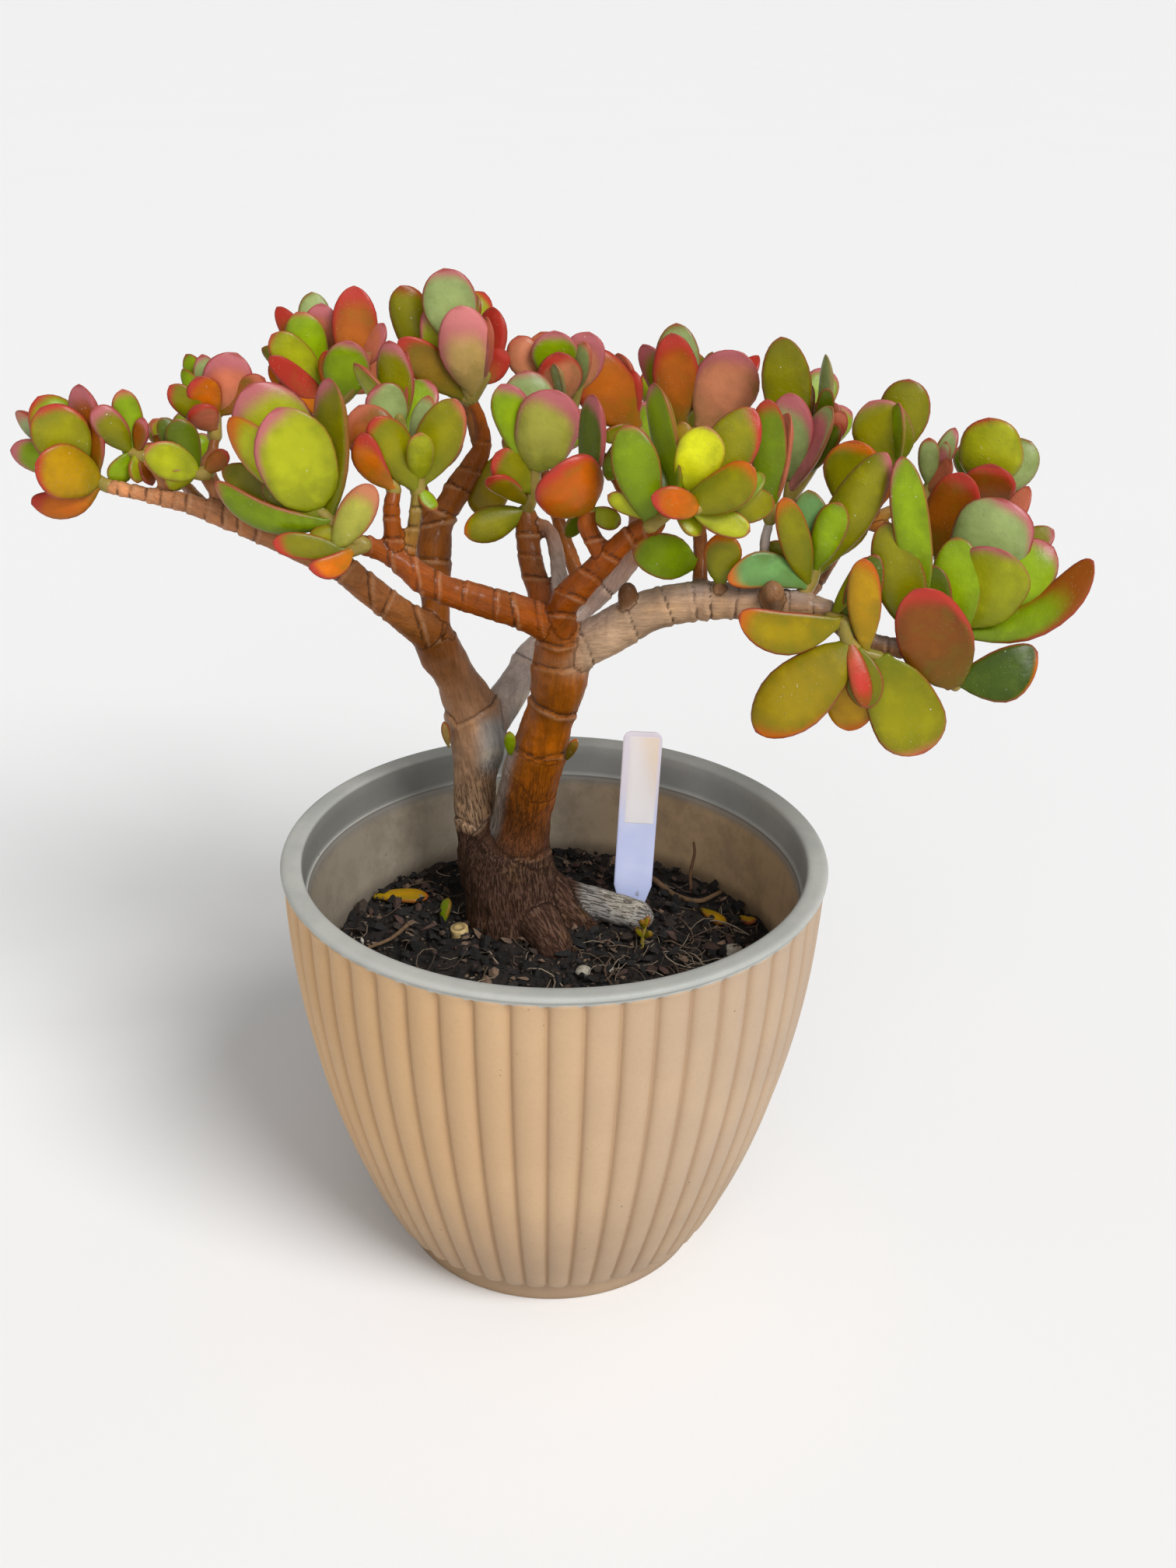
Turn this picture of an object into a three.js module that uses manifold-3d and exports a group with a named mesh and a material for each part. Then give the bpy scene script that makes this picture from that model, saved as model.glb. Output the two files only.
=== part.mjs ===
// A jade plant (Crassula ovata) grown as a bonsai, in a round fluted plastic pot with soil.
// Millimetres, +Z up. The origin is the middle of the pot's foot, on the surface it stands on.
// +X is to the right of the plant's front, and +Y goes away from the front.
import * as THREE from "three";
import { mergeVertices } from "three/addons/utils/BufferGeometryUtils.js";
import Module from "manifold-3d";

const wasm = await Module();
wasm.setup();

// Driving dimensions.
const potHeight = 170;
const rimRadius = 105;
const footRadius = 62.3;
const footHeight = 9;
const fluteCount = 50;
const fluteDepth = 2;
const soilLevel = 121;
const soilGap = 0.35;
const clearance = 0.33;
const leafThickness = 4.6;
const stakeWidth = 15.8;
const stakeThickness = 1.2;

// The crown is set out on a sloping drawing board, as someone standing in front of the plant
// sees it: a is mm to the right on the board, b is mm up it, and y is how far back the point is.
const eye = new THREE.Vector3(12.17, -598.37, 494.33);
const boardDistance = 707.3;
const lookDown = 0.4596;
const lookRoll = 0.0197;
const ahead = new THREE.Vector3(0, Math.cos(lookDown), -Math.sin(lookDown));
const plainUp = new THREE.Vector3(0, Math.sin(lookDown), Math.cos(lookDown));
const plainRight = new THREE.Vector3(1, 0, 0);
const across = plainRight.clone().multiplyScalar(Math.cos(lookRoll));
across.addScaledVector(plainUp, Math.sin(lookRoll));
const upward = plainUp.clone().multiplyScalar(Math.cos(lookRoll));
upward.addScaledVector(plainRight, -Math.sin(lookRoll));

// The real point of a place (a, b) on the board at depth y, with the scale there:
// P = eye + s * (D * ahead + a * across + b * upward), where s puts P at depth y.
function place(a, b, y) {
  const ray = ahead.clone().multiplyScalar(boardDistance);
  ray.addScaledVector(across, a).addScaledVector(upward, b);
  const scale = (y - eye.y) / ray.y;
  return { point: ray.multiplyScalar(scale).add(eye), scale };
}

// A repeatable draw between 0 and 1 for whole number n.
function draw(n) {
  const value = Math.sin(n * 12.9898 + 4.1) * 43758.5453;
  return value - Math.floor(value);
}

// A closed solid from points and triangles, with equal points merged.
function solidFrom(points, triangles) {
  const loose = new THREE.BufferGeometry();
  loose.setAttribute("position", new THREE.Float32BufferAttribute(points, 3));
  loose.setIndex(triangles);
  return solidOf(loose);
}

function solidOf(geometry) {
  geometry.deleteAttribute("normal");
  geometry.deleteAttribute("uv");
  const merged = mergeVertices(geometry, 1e-3);
  const indices = merged.index.array;
  const kept = [];
  for (let i = 0; i < indices.length; i += 3) {
    const [p, q, r] = [indices[i], indices[i + 1], indices[i + 2]];
    if (p !== q && q !== r && r !== p) kept.push(p, q, r);
  }
  const mesh = new wasm.Mesh({
    numProp: 3,
    vertProperties: new Float32Array(merged.attributes.position.array),
    triVerts: new Uint32Array(kept),
  });
  return new wasm.Manifold(mesh);
}

function joined(solids) {
  return wasm.Manifold.union(solids);
}

// A skin over rings of equally many points, closed at both ends by a fan to a middle point.
function skin(rings, first, last) {
  const count = rings[0].length;
  const points = [];
  for (const ring of rings) for (const p of ring) points.push(p.x, p.y, p.z);
  points.push(first.x, first.y, first.z, last.x, last.y, last.z);
  const start = rings.length * count;
  const end = start + 1;
  const triangles = [];
  for (let i = 0; i < count; i++) {
    const j = (i + 1) % count;
    triangles.push(start, j, i);
    const base = (rings.length - 1) * count;
    triangles.push(end, base + i, base + j);
    for (let k = 0; k + 1 < rings.length; k++) {
      const low = k * count;
      const high = low + count;
      triangles.push(low + i, low + j, high + j, low + i, high + j, high + i);
    }
  }
  return solidFrom(points, triangles);
}

// A round limb along points with a radius at each: every ring is square to the mean direction.
function limb(points, radii, sides, grow) {
  const rings = [];
  const middles = points.map((p) => p.clone());
  const n = points.length;
  const firstWay = points[0].clone().sub(points[1]).normalize();
  const lastWay = points[n - 1].clone().sub(points[n - 2]).normalize();
  middles[0].addScaledVector(firstWay, grow);
  middles[n - 1].addScaledVector(lastWay, grow);
  const whole = points[n - 1].clone().sub(points[0]).normalize();
  let side = Math.abs(whole.y) > 0.6 ? new THREE.Vector3(1, 0.1, 0.2) : new THREE.Vector3(0.1, 1, 0.2);
  for (let k = 0; k < n; k++) {
    const before = points[Math.max(k - 1, 0)];
    const after = points[Math.min(k + 1, n - 1)];
    const way = after.clone().sub(before).normalize();
    side = side.clone().addScaledVector(way, -side.dot(way)).normalize();
    const other = way.clone().cross(side);
    const ring = [];
    for (let i = 0; i < sides; i++) {
      const turn = (2 * Math.PI * i) / sides;
      const p = middles[k].clone();
      p.addScaledVector(side, (radii[k] + grow) * Math.cos(turn));
      p.addScaledVector(other, (radii[k] + grow) * Math.sin(turn));
      ring.push(p);
    }
    rings.push(ring);
  }
  return skin(rings, middles[0], middles[n - 1]);
}

// A thick jade leaf from its root to its tip, widest past the middle: its upper face is flat
// and its back is keeled.
// roll turns its face away from the front, and bow bends its middle sideways.
// A broad leaf is seen end on, so it is nearly an ellipse.
const leafShape = { steps: [0.31, 0.65, 0.9], outline: [0.76, 1, 0.7], body: [1, 1, 0.75] };
const broadShape = { steps: [0.2, 0.54, 0.87], outline: [0.84, 1, 0.7], body: [0.9, 1, 0.8] };
const narrowShape = { steps: [0.44, 0.84], outline: [0.92, 0.82], body: [1, 0.8] };
const narrowBelow = 20;

function leaf(root, tip, width, roll, bow, grow, broad = false) {
  const along = tip.clone().sub(root);
  const length = along.length();
  along.normalize();
  const toEye = eye.clone().sub(root).normalize();
  const side0 = along.clone().cross(toEye).normalize();
  const face0 = side0.clone().cross(along);
  const side = side0.clone().multiplyScalar(Math.cos(roll)).addScaledVector(face0, Math.sin(roll));
  const face = face0.clone().multiplyScalar(Math.cos(roll)).addScaledVector(side0, -Math.sin(roll));
  const rings = [];
  const plain = width < narrowBelow ? narrowShape : leafShape;
  const { steps, outline, body } = broad ? broadShape : plain;
  const thickness = Math.min(leafThickness, 2.2 + width * 0.12);
  const middle = (t) => {
    const p = root.clone().addScaledVector(along, length * t);
    return p.addScaledVector(side0, -bow * 4 * t * (1 - t));
  };
  steps.forEach((t, k) => {
    const centre = middle(t);
    const half = (width / 2) * outline[k];
    const thick = (thickness / 2) * body[k];
    let section = [[-half, thick], [half, thick], [0, -thick]];
    if (grow > 0) {
      const rim = thick + ((2 * thick) / half) * grow - 1.3 * grow;
      const wide = half + grow;
      const keel = -thick - 1.3 * grow;
      section = [[-wide, thick + grow], [wide, thick + grow], [wide, rim], [0, keel], [-wide, rim]];
    }
    rings.push(
      section.map(([u, v]) => centre.clone().addScaledVector(side, u).addScaledVector(face, v)),
    );
  });
  const first = middle(0).addScaledVector(along, -grow);
  const last = middle(1).addScaledVector(along, grow * 1.5);
  return skin(rings, first, last);
}

// Pot ---------------------------------------------------------------------------------------

// Radius of the wall over the ribs at height z: it swells fast from the foot, then runs up.
function wallRadius(z) {
  const rise = Math.sin((Math.PI / 2) * (Math.max(z, 0) / potHeight) ** 1.02);
  return 60.2 + (104 - 60.2) * rise ** 0.71;
}

function turned(profile, segments) {
  const line = profile.map(([r, z]) => new THREE.Vector2(r, z));
  const geometry = new THREE.LatheGeometry(line, segments);
  geometry.rotateX(Math.PI / 2);
  return solidOf(geometry);
}

// The outside: a plain foot, the fluted wall whose ribs and grooves take turns, and a plain lip.
const outsideRings = [
  [footRadius, 0, 0],
  [footRadius, footHeight, 0],
  [66.6, 12.5, 1],
  [wallRadius(26), 26, 1],
  [wallRadius(62), 62, 1],
  [wallRadius(110), 110, 1],
  [wallRadius(163), 163, 1],
  [rimRadius - 0.3, 164.2, 0],
  [rimRadius, 168, 0],
  [rimRadius - 2, potHeight, 0],
];

function outsideBody() {
  const rings = outsideRings.map(([radius, z, fluted]) => {
    const ring = [];
    for (let i = 0; i < fluteCount * 2; i++) {
      const turn = (i * Math.PI) / fluteCount;
      const r = radius - (i % 2 === 0 ? fluteDepth * fluted : 0);
      ring.push(new THREE.Vector3(r * Math.sin(turn), -r * Math.cos(turn), z));
    }
    return ring;
  });
  return skin(rings, new THREE.Vector3(0, 0, 0), new THREE.Vector3(0, 0, potHeight));
}

// The pot's inside, from the floor up past the small step where the lip begins.
const insideProfile = [
  [57, 10],
  [70, 32],
  [80, 64],
  [91.8, 121],
];

function potSolid() {
  const lipInside = [[95, 155], [96.4, 155.6], [96.8, 168.6], [98.2, 171], [0, 171]];
  const inside = turned([[0, 10], ...insideProfile, ...lipInside], 40);
  return outsideBody().subtract(inside);
}

// Height of the soil at (x, y): low lumps, a little higher round the trunk.
function soilHeight(x, y) {
  const lumps = Math.sin(x * 0.13 + 1) * Math.cos(y * 0.17) + 0.6 * Math.sin(x * 0.31 + y * 0.27);
  const mound = 3 * Math.exp(-((x + 14) ** 2 + (y - 28) ** 2) / 1400);
  return soilLevel - 1 + 1.1 * lumps + mound;
}

function soilSolid() {
  const segments = 26;
  const rings = [];
  for (const [r, z] of insideProfile.slice(0, -1)) rings.push([r - soilGap, z + soilGap]);
  for (const r of [91, 70, 48, 24]) rings.push([r, null]);
  const made = rings.map(([r, z]) => {
    const ring = [];
    for (let i = 0; i < segments; i++) {
      const turn = (2 * Math.PI * i) / segments;
      const x = r * Math.sin(turn);
      const y = -r * Math.cos(turn);
      ring.push(new THREE.Vector3(x, y, z === null ? soilHeight(x, y) : z));
    }
    return ring;
  });
  const floor = new THREE.Vector3(0, 0, 10 + soilGap);
  return skin(made, floor, new THREE.Vector3(0, 0, soilHeight(0, 0)));
}

// Wood ---------------------------------------------------------------------------------------

// The stool of the trunk and its roots, in real millimetres: x, y, z and radius.
const rootLimbs = [
  [8, [[-14, 31, 92, 16], [-16, 29, 121, 20.5], [-18, 29, 134, 19.5], [-19.5, 30, 150, 18]]],
  [6, [[-14, 24, 132, 11], [-2, 9, 123, 8.5], [10, -8, 111, 4.5]]],
  [6, [[-10, 30, 138, 11], [6, 27, 124, 9], [18, 24, 110, 5]]],
  [6, [[-8, 32, 133, 7], [8, 30, 131, 6.8], [34, 26, 125.5, 6.4]]],
];

// Limbs above the soil: sides, then a, b, depth and width on the board, then the places (a, b)
// of the ring scars that old leaves left.
const limbs = [
  [8, [[-39, -36, 33, 26], [-44, -20, 36, 18], [-45.5, 0, 38, 17.5], [-44, 15, 40, 22], [-46, 27, 42, 23],
    [-53, 42, 40, 17], [-59, 53, 38, 18], [-63, 60, 36, 16], [-72, 66, 30, 13], [-90, 79.5, 20, 12],
    [-98, 86, 15, 12], [-118, 95.5, 8, 10.5], [-140, 105, 5, 9.5], [-160, 112.5, 5, 8.5], [-172, 115, 7, 7],
    [-192, 119.5, 9.5, 5.6]], []],
  [5, [[-168, 115, 7, 5], [-172, 124, 10, 5], [-178, 131, 13, 4.6]], []],
  [5, [[-142, 106, 5, 6], [-153, 125, 15, 7.4], [-151, 133, 19, 5], [-150, 139, 23, 4.6]], []],
  [7, [[-62, 57, 37, 14], [-61, 70, 40, 11], [-62, 92, 48, 14.5], [-61, 103, 52, 13], [-57, 110, 54, 10.5],
    [-52, 119, 58, 11], [-45, 130, 61, 9], [-42, 137, 62, 7], [-44, 148, 62, 5], [-47, 153.5, 62, 5]], []],
  [5, [[-62, 101, 52, 8], [-67, 118, 56, 6], [-71, 130, 48, 5], [-74, 136.5, 41, 5]], []],
  [5, [[-67, 117, 56, 6], [-85, 134, 63, 5], [-103.5, 151, 70, 4.6]], []],
  [7, [[-40, 24, 43, 16], [-28, 42, 60, 13], [-22, 54, 75, 10], [-5, 67, 90, 8], [8, 79, 98, 8],
    [18, 92, 102, 8], [20, 110, 95, 7], [23, 136, 82, 6]], []],
  [5, [[20, 108, 96, 6], [8, 128, 88, 5], [-7, 146, 76, 5]], []],
  [10, [[-30, -38, 29, 32], [-27, -15, 26, 24], [-24, 0, 22, 24], [-19.5, 15, 18, 23], [-15, 28, 15, 20],
    [-12, 40, 12, 22], [-11, 50, 10, 22], [-12, 60, 7, 19], [-16, 65, 4, 15]],
    [[-20.5, 10], [-16, 25], [-9, 46]]],
  [7, [[-12, 61, 7, 15], [-24, 68, 0, 14], [-40, 73, -7, 13], [-58, 78, -12, 12], [-66, 82, -14, 12],
    [-74, 88, -15, 10], [-82, 93, -16, 8], [-90, 96, -18, 9.5], [-94, 97.5, -18, 6]], [[-50, 75.5]]],
  [5, [[-78, 90, -15.5, 7], [-79, 112, -12, 7.5], [-78, 117, -10, 6]], []],
  [5, [[-73, 87, -14, 6], [-70, 104, -11, 5.5], [-68.5, 116.5, -8, 5.5]], []],
  [6, [[-14, 64, 11, 13], [-20, 80, 22, 11], [-23, 90, 30, 10], [-25, 108.5, 38, 9]], []],
  [5, [[-10, 73, 8, 8], [-14.5, 100, 33, 6], [-23.5, 105, 37, 6]], []],
  [7, [[-12, 58, 6, 14], [-10, 72, 0, 12.5], [-4, 79, -4, 12.5], [2, 85, -7, 11], [13, 96, -12, 9],
    [19, 101, -15, 8.5], [27, 104.5, -18, 8.5]], []],
  [5, [[6, 91, -9, 8], [-1, 105, -8.5, 7.5], [0, 109, -8, 7]], []],
  [7, [[-8, 52, 9, 18], [-1, 56, 9, 18], [7, 60, 7, 18], [26, 70, 4, 17], [46, 73.5, 1, 15.5],
    [70, 73, -3, 14], [93, 70, -6, 11], [103, 64, -8, 11], [114, 57, -10, 8], [126, 54, -12, 8]],
    [[16, 65], [36, 71.5], [58, 73]]],
  [7, [[16, 64, 6, 9], [16, 77.5, 1, 7.5]], []],
  [5, [[45, 72, 2, 7], [45, 98, 20, 6], [43, 118, 52, 5.5], [40, 136.5, 79, 5]], []],
  [6, [[74, 70, -6, 8], [74, 77, -10, 10.5]], []],
  [5, [[71, 74, -3, 5], [71, 96, -1, 4.5], [73, 106, 0, 4]], []],
  [5, [[82, 70, -4, 8], [86, 76, -3, 6]], []],
  [5, [[82, 70, -2, 8], [91, 80, 12, 6.5], [100, 94, 28, 6], [110, 106, 36, 6], [122, 120, 40, 5]], []],
  [5, [[110, 105, 36, 5.5], [133.5, 114, 52, 4.8]], []],
  [5, [[110, 105, 37, 5.5], [130, 101, 40, 5.5], [156, 103.5, 41, 4.8]], []],
  [5, [[90, 79, 11, 6], [86, 100, 36, 5.5], [81, 114, 51, 5]], []],
  [4, [[99, 93, 27, 4.4], [104, 106, 31, 4]], []],
  [5, [[53, 73, -3, 6], [53, 79.5, -4, 5]], []],
  [4, [[-152, 109, 5, 6], [-160, 118, 40, 5], [-165, 124, 60, 5]], []],
  [4, [[-96, 144, 68, 5], [-103, 152, 105, 5]], []],
  [4, [[-62, 90, 48, 7], [-66, 105, 75, 6], [-69, 118, 93, 5]], []],
  [4, [[-43, 134, 62, 6], [-48, 150, 92, 5], [-51, 158, 107, 5]], []],
  [4, [[0, 72, 94, 7], [-10, 100, 112, 6], [-18, 126, 124, 5]], []],
  [4, [[18, 91, 102, 7], [28, 115, 122, 6], [35, 132, 134, 5]], []],
  [4, [[82, 112, 49, 5], [84, 122, 80, 5], [85, 128, 102, 5]], []],
  [4, [[144, 101, 41, 5], [154, 104, 66, 5], [159, 107, 88, 5]], []],
];

function woodSolid(grow) {
  const pieces = [];
  for (const [sides, line] of rootLimbs) {
    const points = line.map(([x, y, z]) => new THREE.Vector3(x, y, z));
    const radii = line.map((entry) => entry[3]);
    pieces.push(limb(points, radii, sides, grow));
  }
  for (const [sides, line, scars] of limbs) {
    const points = [];
    const radii = [];
    line.forEach(([a, b, y, width], k) => {
      const here = place(a, b, y);
      points.push(here.point);
      radii.push((width / 2) * here.scale);
      if (k + 1 === line.length) return;
      const [a2, b2, y2, width2] = line[k + 1];
      const span = (a2 - a) ** 2 + (b2 - b) ** 2;
      const shares = scars.map(([sa, sb]) => ((sa - a) * (a2 - a) + (sb - b) * (b2 - b)) / span);
      const inside = shares.filter((share) => share > 0.12 && share < 0.88).sort((p, q) => p - q);
      for (const share of inside) {
        const step = 1.3 / Math.sqrt(span);
        for (const [offset, lift] of [[-step, 0], [0, 0.8], [step, 0]]) {
          const t = share + offset;
          const mid = place(a + (a2 - a) * t, b + (b2 - b) * t, y + (y2 - y) * t);
          points.push(mid.point);
          radii.push(((width + (width2 - width) * t) / 2) * mid.scale + lift);
        }
      }
    });
    pieces.push(limb(points, radii, sides, grow));
  }
  return joined(pieces);
}

// Leafy shoots ---------------------------------------------------------------------------------

// Each shoot: its name, its green stems as lines of (a, b, depth), and its leaves as root (a, b),
// tip (a, b), width, how much further back the tip is, roll in degrees, colour code and bow.
// The code's first letter is the leaf's body, the second its blush, and the digit its spread. An
// e after them marks a broad leaf.
const shoots = [
  ["shoot_left_end", [[[-192.6, 119.7, 9.6], [-197, 122, 10], [-205, 131, 11]]], [
    [-197, 121, -222, 128.5, 22, -15, 0, "or3e"],
    [-196, 120, -223.5, 112.5, 13, -5, 15, "Or4", 4],
    [-203, 124, -232, 134, 15, 8, 20, "gm4"],
    [-203, 127, -220, 151, 23, -3, 0, "op3"],
    [-204, 129, -221, 155.5, 20, 8, 0, "gr3"],
    [-205, 130, -230, 149, 12, 14, 50, "kp4"],
    [-198, 123, -204.5, 160.5, 17, 4, 45, "bm5"],
  ]],
  ["shoot_left_end_upper", [[[-178.5, 131.4, 13.2], [-185, 134, 15]]], [
    [-184, 134, -198, 151.5, 13, -6, 10, "om5"],
    [-182, 134, -187, 158.5, 12.5, 1, 0, "gp3"],
    [-181, 133, -178.5, 147, 8, -2, 40, "bm4"],
    [-184, 133, -191, 121, 10, -4, 20, "gn0"],
    [-182, 132, -181, 121, 8, -6, 30, "yn0"],
    [-181, 132, -175, 120, 8, -3, 50, "bp3"],
  ]],
  ["shoot_left_knuckle", [[[-153, 125, 8.4], [-158, 125, 8], [-163, 130, 8]]], [
    [-157, 124, -178, 134, 15, -6, 0, "gp2e"],
    [-157, 124, -170, 120, 11, -4, 40, "yn0"],
    [-160, 128, -171.5, 147, 10, 4, 0, "dn0"],
    [-157, 126, -166, 146.5, 13, 0, 0, "dn1"],
    [-162, 129, -175, 139.5, 8, 6, 40, "bn2"],
    [-154, 126, -145, 133.5, 8, -4, 0, "br3"],
  ]],
  ["shoot_left_twig", [[[-150, 139.6, 23.1], [-150, 148, 25], [-149.5, 156, 27]]], [
    [-150, 142, -168, 160, 11, -6, 10, "or3"],
    [-150, 142, -158, 152, 13, -8, 20, "pr5"],
    [-150, 147, -157, 163.5, 14, -6, 0, "Or4"],
    [-148, 148, -141, 173, 20, 2, 0, "pm6"],
    [-150, 150, -155, 172.5, 11, 4, 20, "km3"],
    [-150, 152, -161.5, 172.5, 10, 8, 30, "gn1"],
    [-150, 149, -163, 166.5, 8, 4, 30, "gn1"],
    [-149, 148, -130, 163, 12, 0, 0, "bp5"],
  ]],
  ["shoot_left_rear", [
    [[-104, 151.5, 70.1], [-107, 160, 71], [-108, 174, 72]],
    [[-104, 151.5, 70.1], [-96, 157, 66], [-91, 166, 64]],
  ], [
    [-93, 162, -94, 200, 18, 8, 0, "br5"],
    [-91, 164, -82, 185, 12, 4, 50, "pm4"],
    [-94, 156, -84, 172, 17, -2, 0, "pn3"],
    [-97, 154, -96, 178, 19, -8, 0, "gm3e"],
    [-103, 154, -105, 174, 9, -6, 30, "Or4"],
    [-107, 164, -117, 189.5, 16, -2, 0, "gp2"],
    [-107, 160, -127, 180.5, 15, -7, 0, "yr2"],
    [-106, 168, -107, 193, 15, 4, 0, "pm6"],
    [-108, 172, -111, 197.5, 13, 9, 0, "kn1"],
    [-108, 168, -125, 191.5, 10, 6, 20, "br6"],
    [-106, 158, -131, 175, 11, 4, 40, "on2"],
    [-105, 150, -128, 171.5, 10, -10, 0, "rr8"],
    [-106, 157, -129, 171, 8, 9, 50, "kn0"],
    [-104, 150, -125, 160, 14, -6, 0, "Or3"],
  ]],
  ["shoot_left_front", [
    [[-90, 96, -25.4], [-98, 102, -23], [-109.5, 110.5, -20]],
    [[-90, 96, -25.4], [-98, 93, -25], [-104, 92, -25]],
  ], [
    [-110, 110, -125, 151, 32, -7, 0, "ym2e"],
    [-108, 110, -136, 160.5, 33, 6, 0, "gm2"],
    [-109, 111, -144, 147, 19, -2, 35, "yr2"],
    [-103, 108, -104, 163, 20, 6, 45, "gr2"],
    [-102, 106, -150, 121, 14, -4, 35, "dp2", 7],
    [-104, 108, -131, 120, 14, -2, 0, "on1"],
    [-98, 102, -112, 98, 9, -4, 0, "on2"],
    [-103, 92.5, -86.5, 120, 14.5, -3, 0, "nq3"],
    [-106, 109, -147, 126.5, 14, 9, 0, "on2"],
    [-97, 93, -126.5, 97, 11, -6, 0, "or4"],
    [-94, 94, -112, 86.5, 10, -10, 10, "Or4", 3],
  ]],
  ["shoot_left_inner", [[[-78, 117.6, -9.8], [-80, 126, -8]]], [
    [-79, 118, -91, 141, 13, -6, 20, "Or5", 3],
    [-80, 122, -92, 152, 21, 6, 0, "bp4"],
    [-79, 122, -78, 143, 14, 16, 10, "gn2"],
  ]],
  ["shoot_left_inner_tall", [[[-68.5, 117.1, -7.8], [-67.5, 127, -6]]], [
    [-70, 118, -86, 147, 18, -7, 0, "or3"],
    [-68, 123, -67, 141, 11.5, -10, 0, "Yp1e"],
    [-66, 119, -53, 154.5, 19, 2, 0, "op2"],
    [-67, 119, -61, 110, 7, -4, 30, "gn1"],
    [-68, 124, -64, 156, 13, 8, 40, "kp2"],
    [-66, 120, -50, 147, 12, 9, 20, "on1"],
  ]],
  ["shoot_left_middle", [[[-74.2, 137.1, 40.4], [-76, 147, 37]]], [
    [-76, 144, -94, 169, 11, 4, 55, "yp2"],
    [-76, 143, -85, 160, 17, -4, 0, "km3"],
    [-75, 143, -80, 178, 16, 3, 25, "ym4"],
    [-74, 143, -73, 174, 9, 6, 65, "kp5"],
    [-75, 140, -64, 162, 16, 12, 10, "gm3"],
  ]],
  ["shoot_top", [
    [[-47.2, 154.1, 62], [-50, 165, 60], [-53, 178, 58]],
    [[-47.2, 154.1, 62], [-41, 164, 60]],
    [[-47.2, 154.1, 62], [-58, 160, 63], [-64, 168, 65]],
  ], [
    [-46, 156, -51.5, 192, 22, -10, 0, "kp5"],
    [-49, 156, -76, 178.5, 15, -9, 0, "br3"],
    [-63, 166, -75.5, 200, 17.5, 4, 0, "ob3"],
    [-58, 162, -61, 194.5, 15, 0, 0, "Ym6"],
    [-52, 175, -58, 207, 22, 3, 0, "km3"],
    [-52, 174, -45, 196.5, 9, 5, 30, "on3"],
    [-42, 161, -38, 191.5, 15, 5, 35, "rr8"],
    [-42, 161, -40.5, 187.5, 10, -5, 55, "mp5"],
    [-42, 160, -33, 174, 11, 0, 0, "rr8"],
  ]],
  ["shoot_centre", [[[-24.9, 109.1, 37.8], [-22, 118, 33], [-21, 132, 31]]], [
    [-17, 126, -12, 158, 26.5, -8, 0, "om5e"],
    [-24, 128, -35, 160.5, 17, -3, 0, "gm3"],
    [-21, 129, -25, 166, 23, 8, 0, "km2"],
    [-20, 111, -40, 123, 11, -14, 40, "dr4"],
    [-19, 117, -37, 133, 17, -5, 0, "or4"],
    [-25, 110, -49.5, 100.5, 14, -8, 0, "oO2"],
  ]],
  ["shoot_centre_front", [[[0, 109.6, -8], [-1, 118, -7]]], [
    [2, 109.5, -13, 127.5, 30, -12, 0, "cr4e"],
    [-1, 116, 2, 156.5, 16, 5, 50, "dm4"],
    [1, 110, 13, 104.5, 9, 3, 0, "yn0"],
    [0, 112, -8, 99, 8, 9, 30, "dn0"],
  ]],
  ["leaf_hanging", [], [
    [-36, 131, -43, 107.5, 17, -2, 0, "on1"],
  ]],
  ["shoot_centre_rear", [
    [[-7.4, 146.5, 75.6], [-12, 156, 73], [-15, 168, 71]],
    [[-7.4, 146.5, 75.6], [-19, 155, 72], [-24, 163, 71]],
    [[-7.4, 146.5, 75.6], [-4, 160, 73]],
  ], [
    [-23, 161, -28, 180, 14, 2, 0, "qp4"],
    [-15, 164, -19, 181.5, 15, 6, 0, "bp4"],
    [-14, 161, -13.5, 182, 19, -4, 0, "gm4"],
    [-4, 157, 0.5, 181.5, 17, 0, 0, "qm6"],
    [-4, 158, -1, 177.5, 9, -6, 30, "kp3"],
    [-11, 153, -12, 173.5, 18, -9, 0, "qr5"],
    [-10, 152, -13, 168.5, 8, -14, 60, "kp1"],
  ]],
  ["shoot_centre_right", [[[23, 136.6, 81.8], [17, 147, 80]]], [
    [17, 141, -4, 173, 24.5, -5, 0, "br5"],
    [17, 146, 12, 173, 12, 4, 40, "rp5"],
    [18, 145, 17.5, 166.5, 10, 0, 40, "rr8"],
    [18, 143, 6, 139, 8, -6, 30, "on1"],
    [18, 142, 8, 122, 11, 2, 20, "dn0"],
  ]],
  ["shoot_right_top", [[[40, 137.1, 79.2], [36, 149, 82]], [[40, 137.1, 79.2], [49, 146, 78]]], [
    [36, 144, 33.5, 181, 18.5, -5, 0, "br5"],
    [38, 148, 35.5, 185, 18, 5, 0, "kn2"],
    [37, 143, 22, 176.5, 14, 4, 35, "gm5"],
    [47, 141, 62.5, 173, 26, -7, 0, "qm4"],
    [42, 144, 50, 173.5, 9, 7, 30, "kn3"],
    [41, 146, 45, 168.5, 7, 2, 20, "mn5"],
    [48, 145, 68.5, 172, 10, 9, 30, "qr5"],
  ]],
  ["shoot_right_front", [
    [[25, 103.7, -23], [34, 111, -19], [41, 118, -15]],
    [[34, 111, -19], [44, 110.5, -24]],
  ], [
    [41, 118, 48, 143.5, 20, -9, 0, "Ym1e"],
    [38, 116, 38, 145.5, 12, 4, 0, "wn1"],
    [40, 117, 67, 150.5, 21, 4, 0, "nr3", 2],
    [38, 110, 67, 126.5, 18, -8, 0, "oO3", 2],
    [42, 110, 71, 124, 12, 2, 20, "gn1", 3],
    [44, 110.5, 25.5, 115.5, 13, -6, 0, "cr4e"],
    [25, 105, 15, 144, 19, 3, 0, "gp2"],
    [28, 107, 8, 116, 9, 0, 20, "yn0"],
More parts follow.
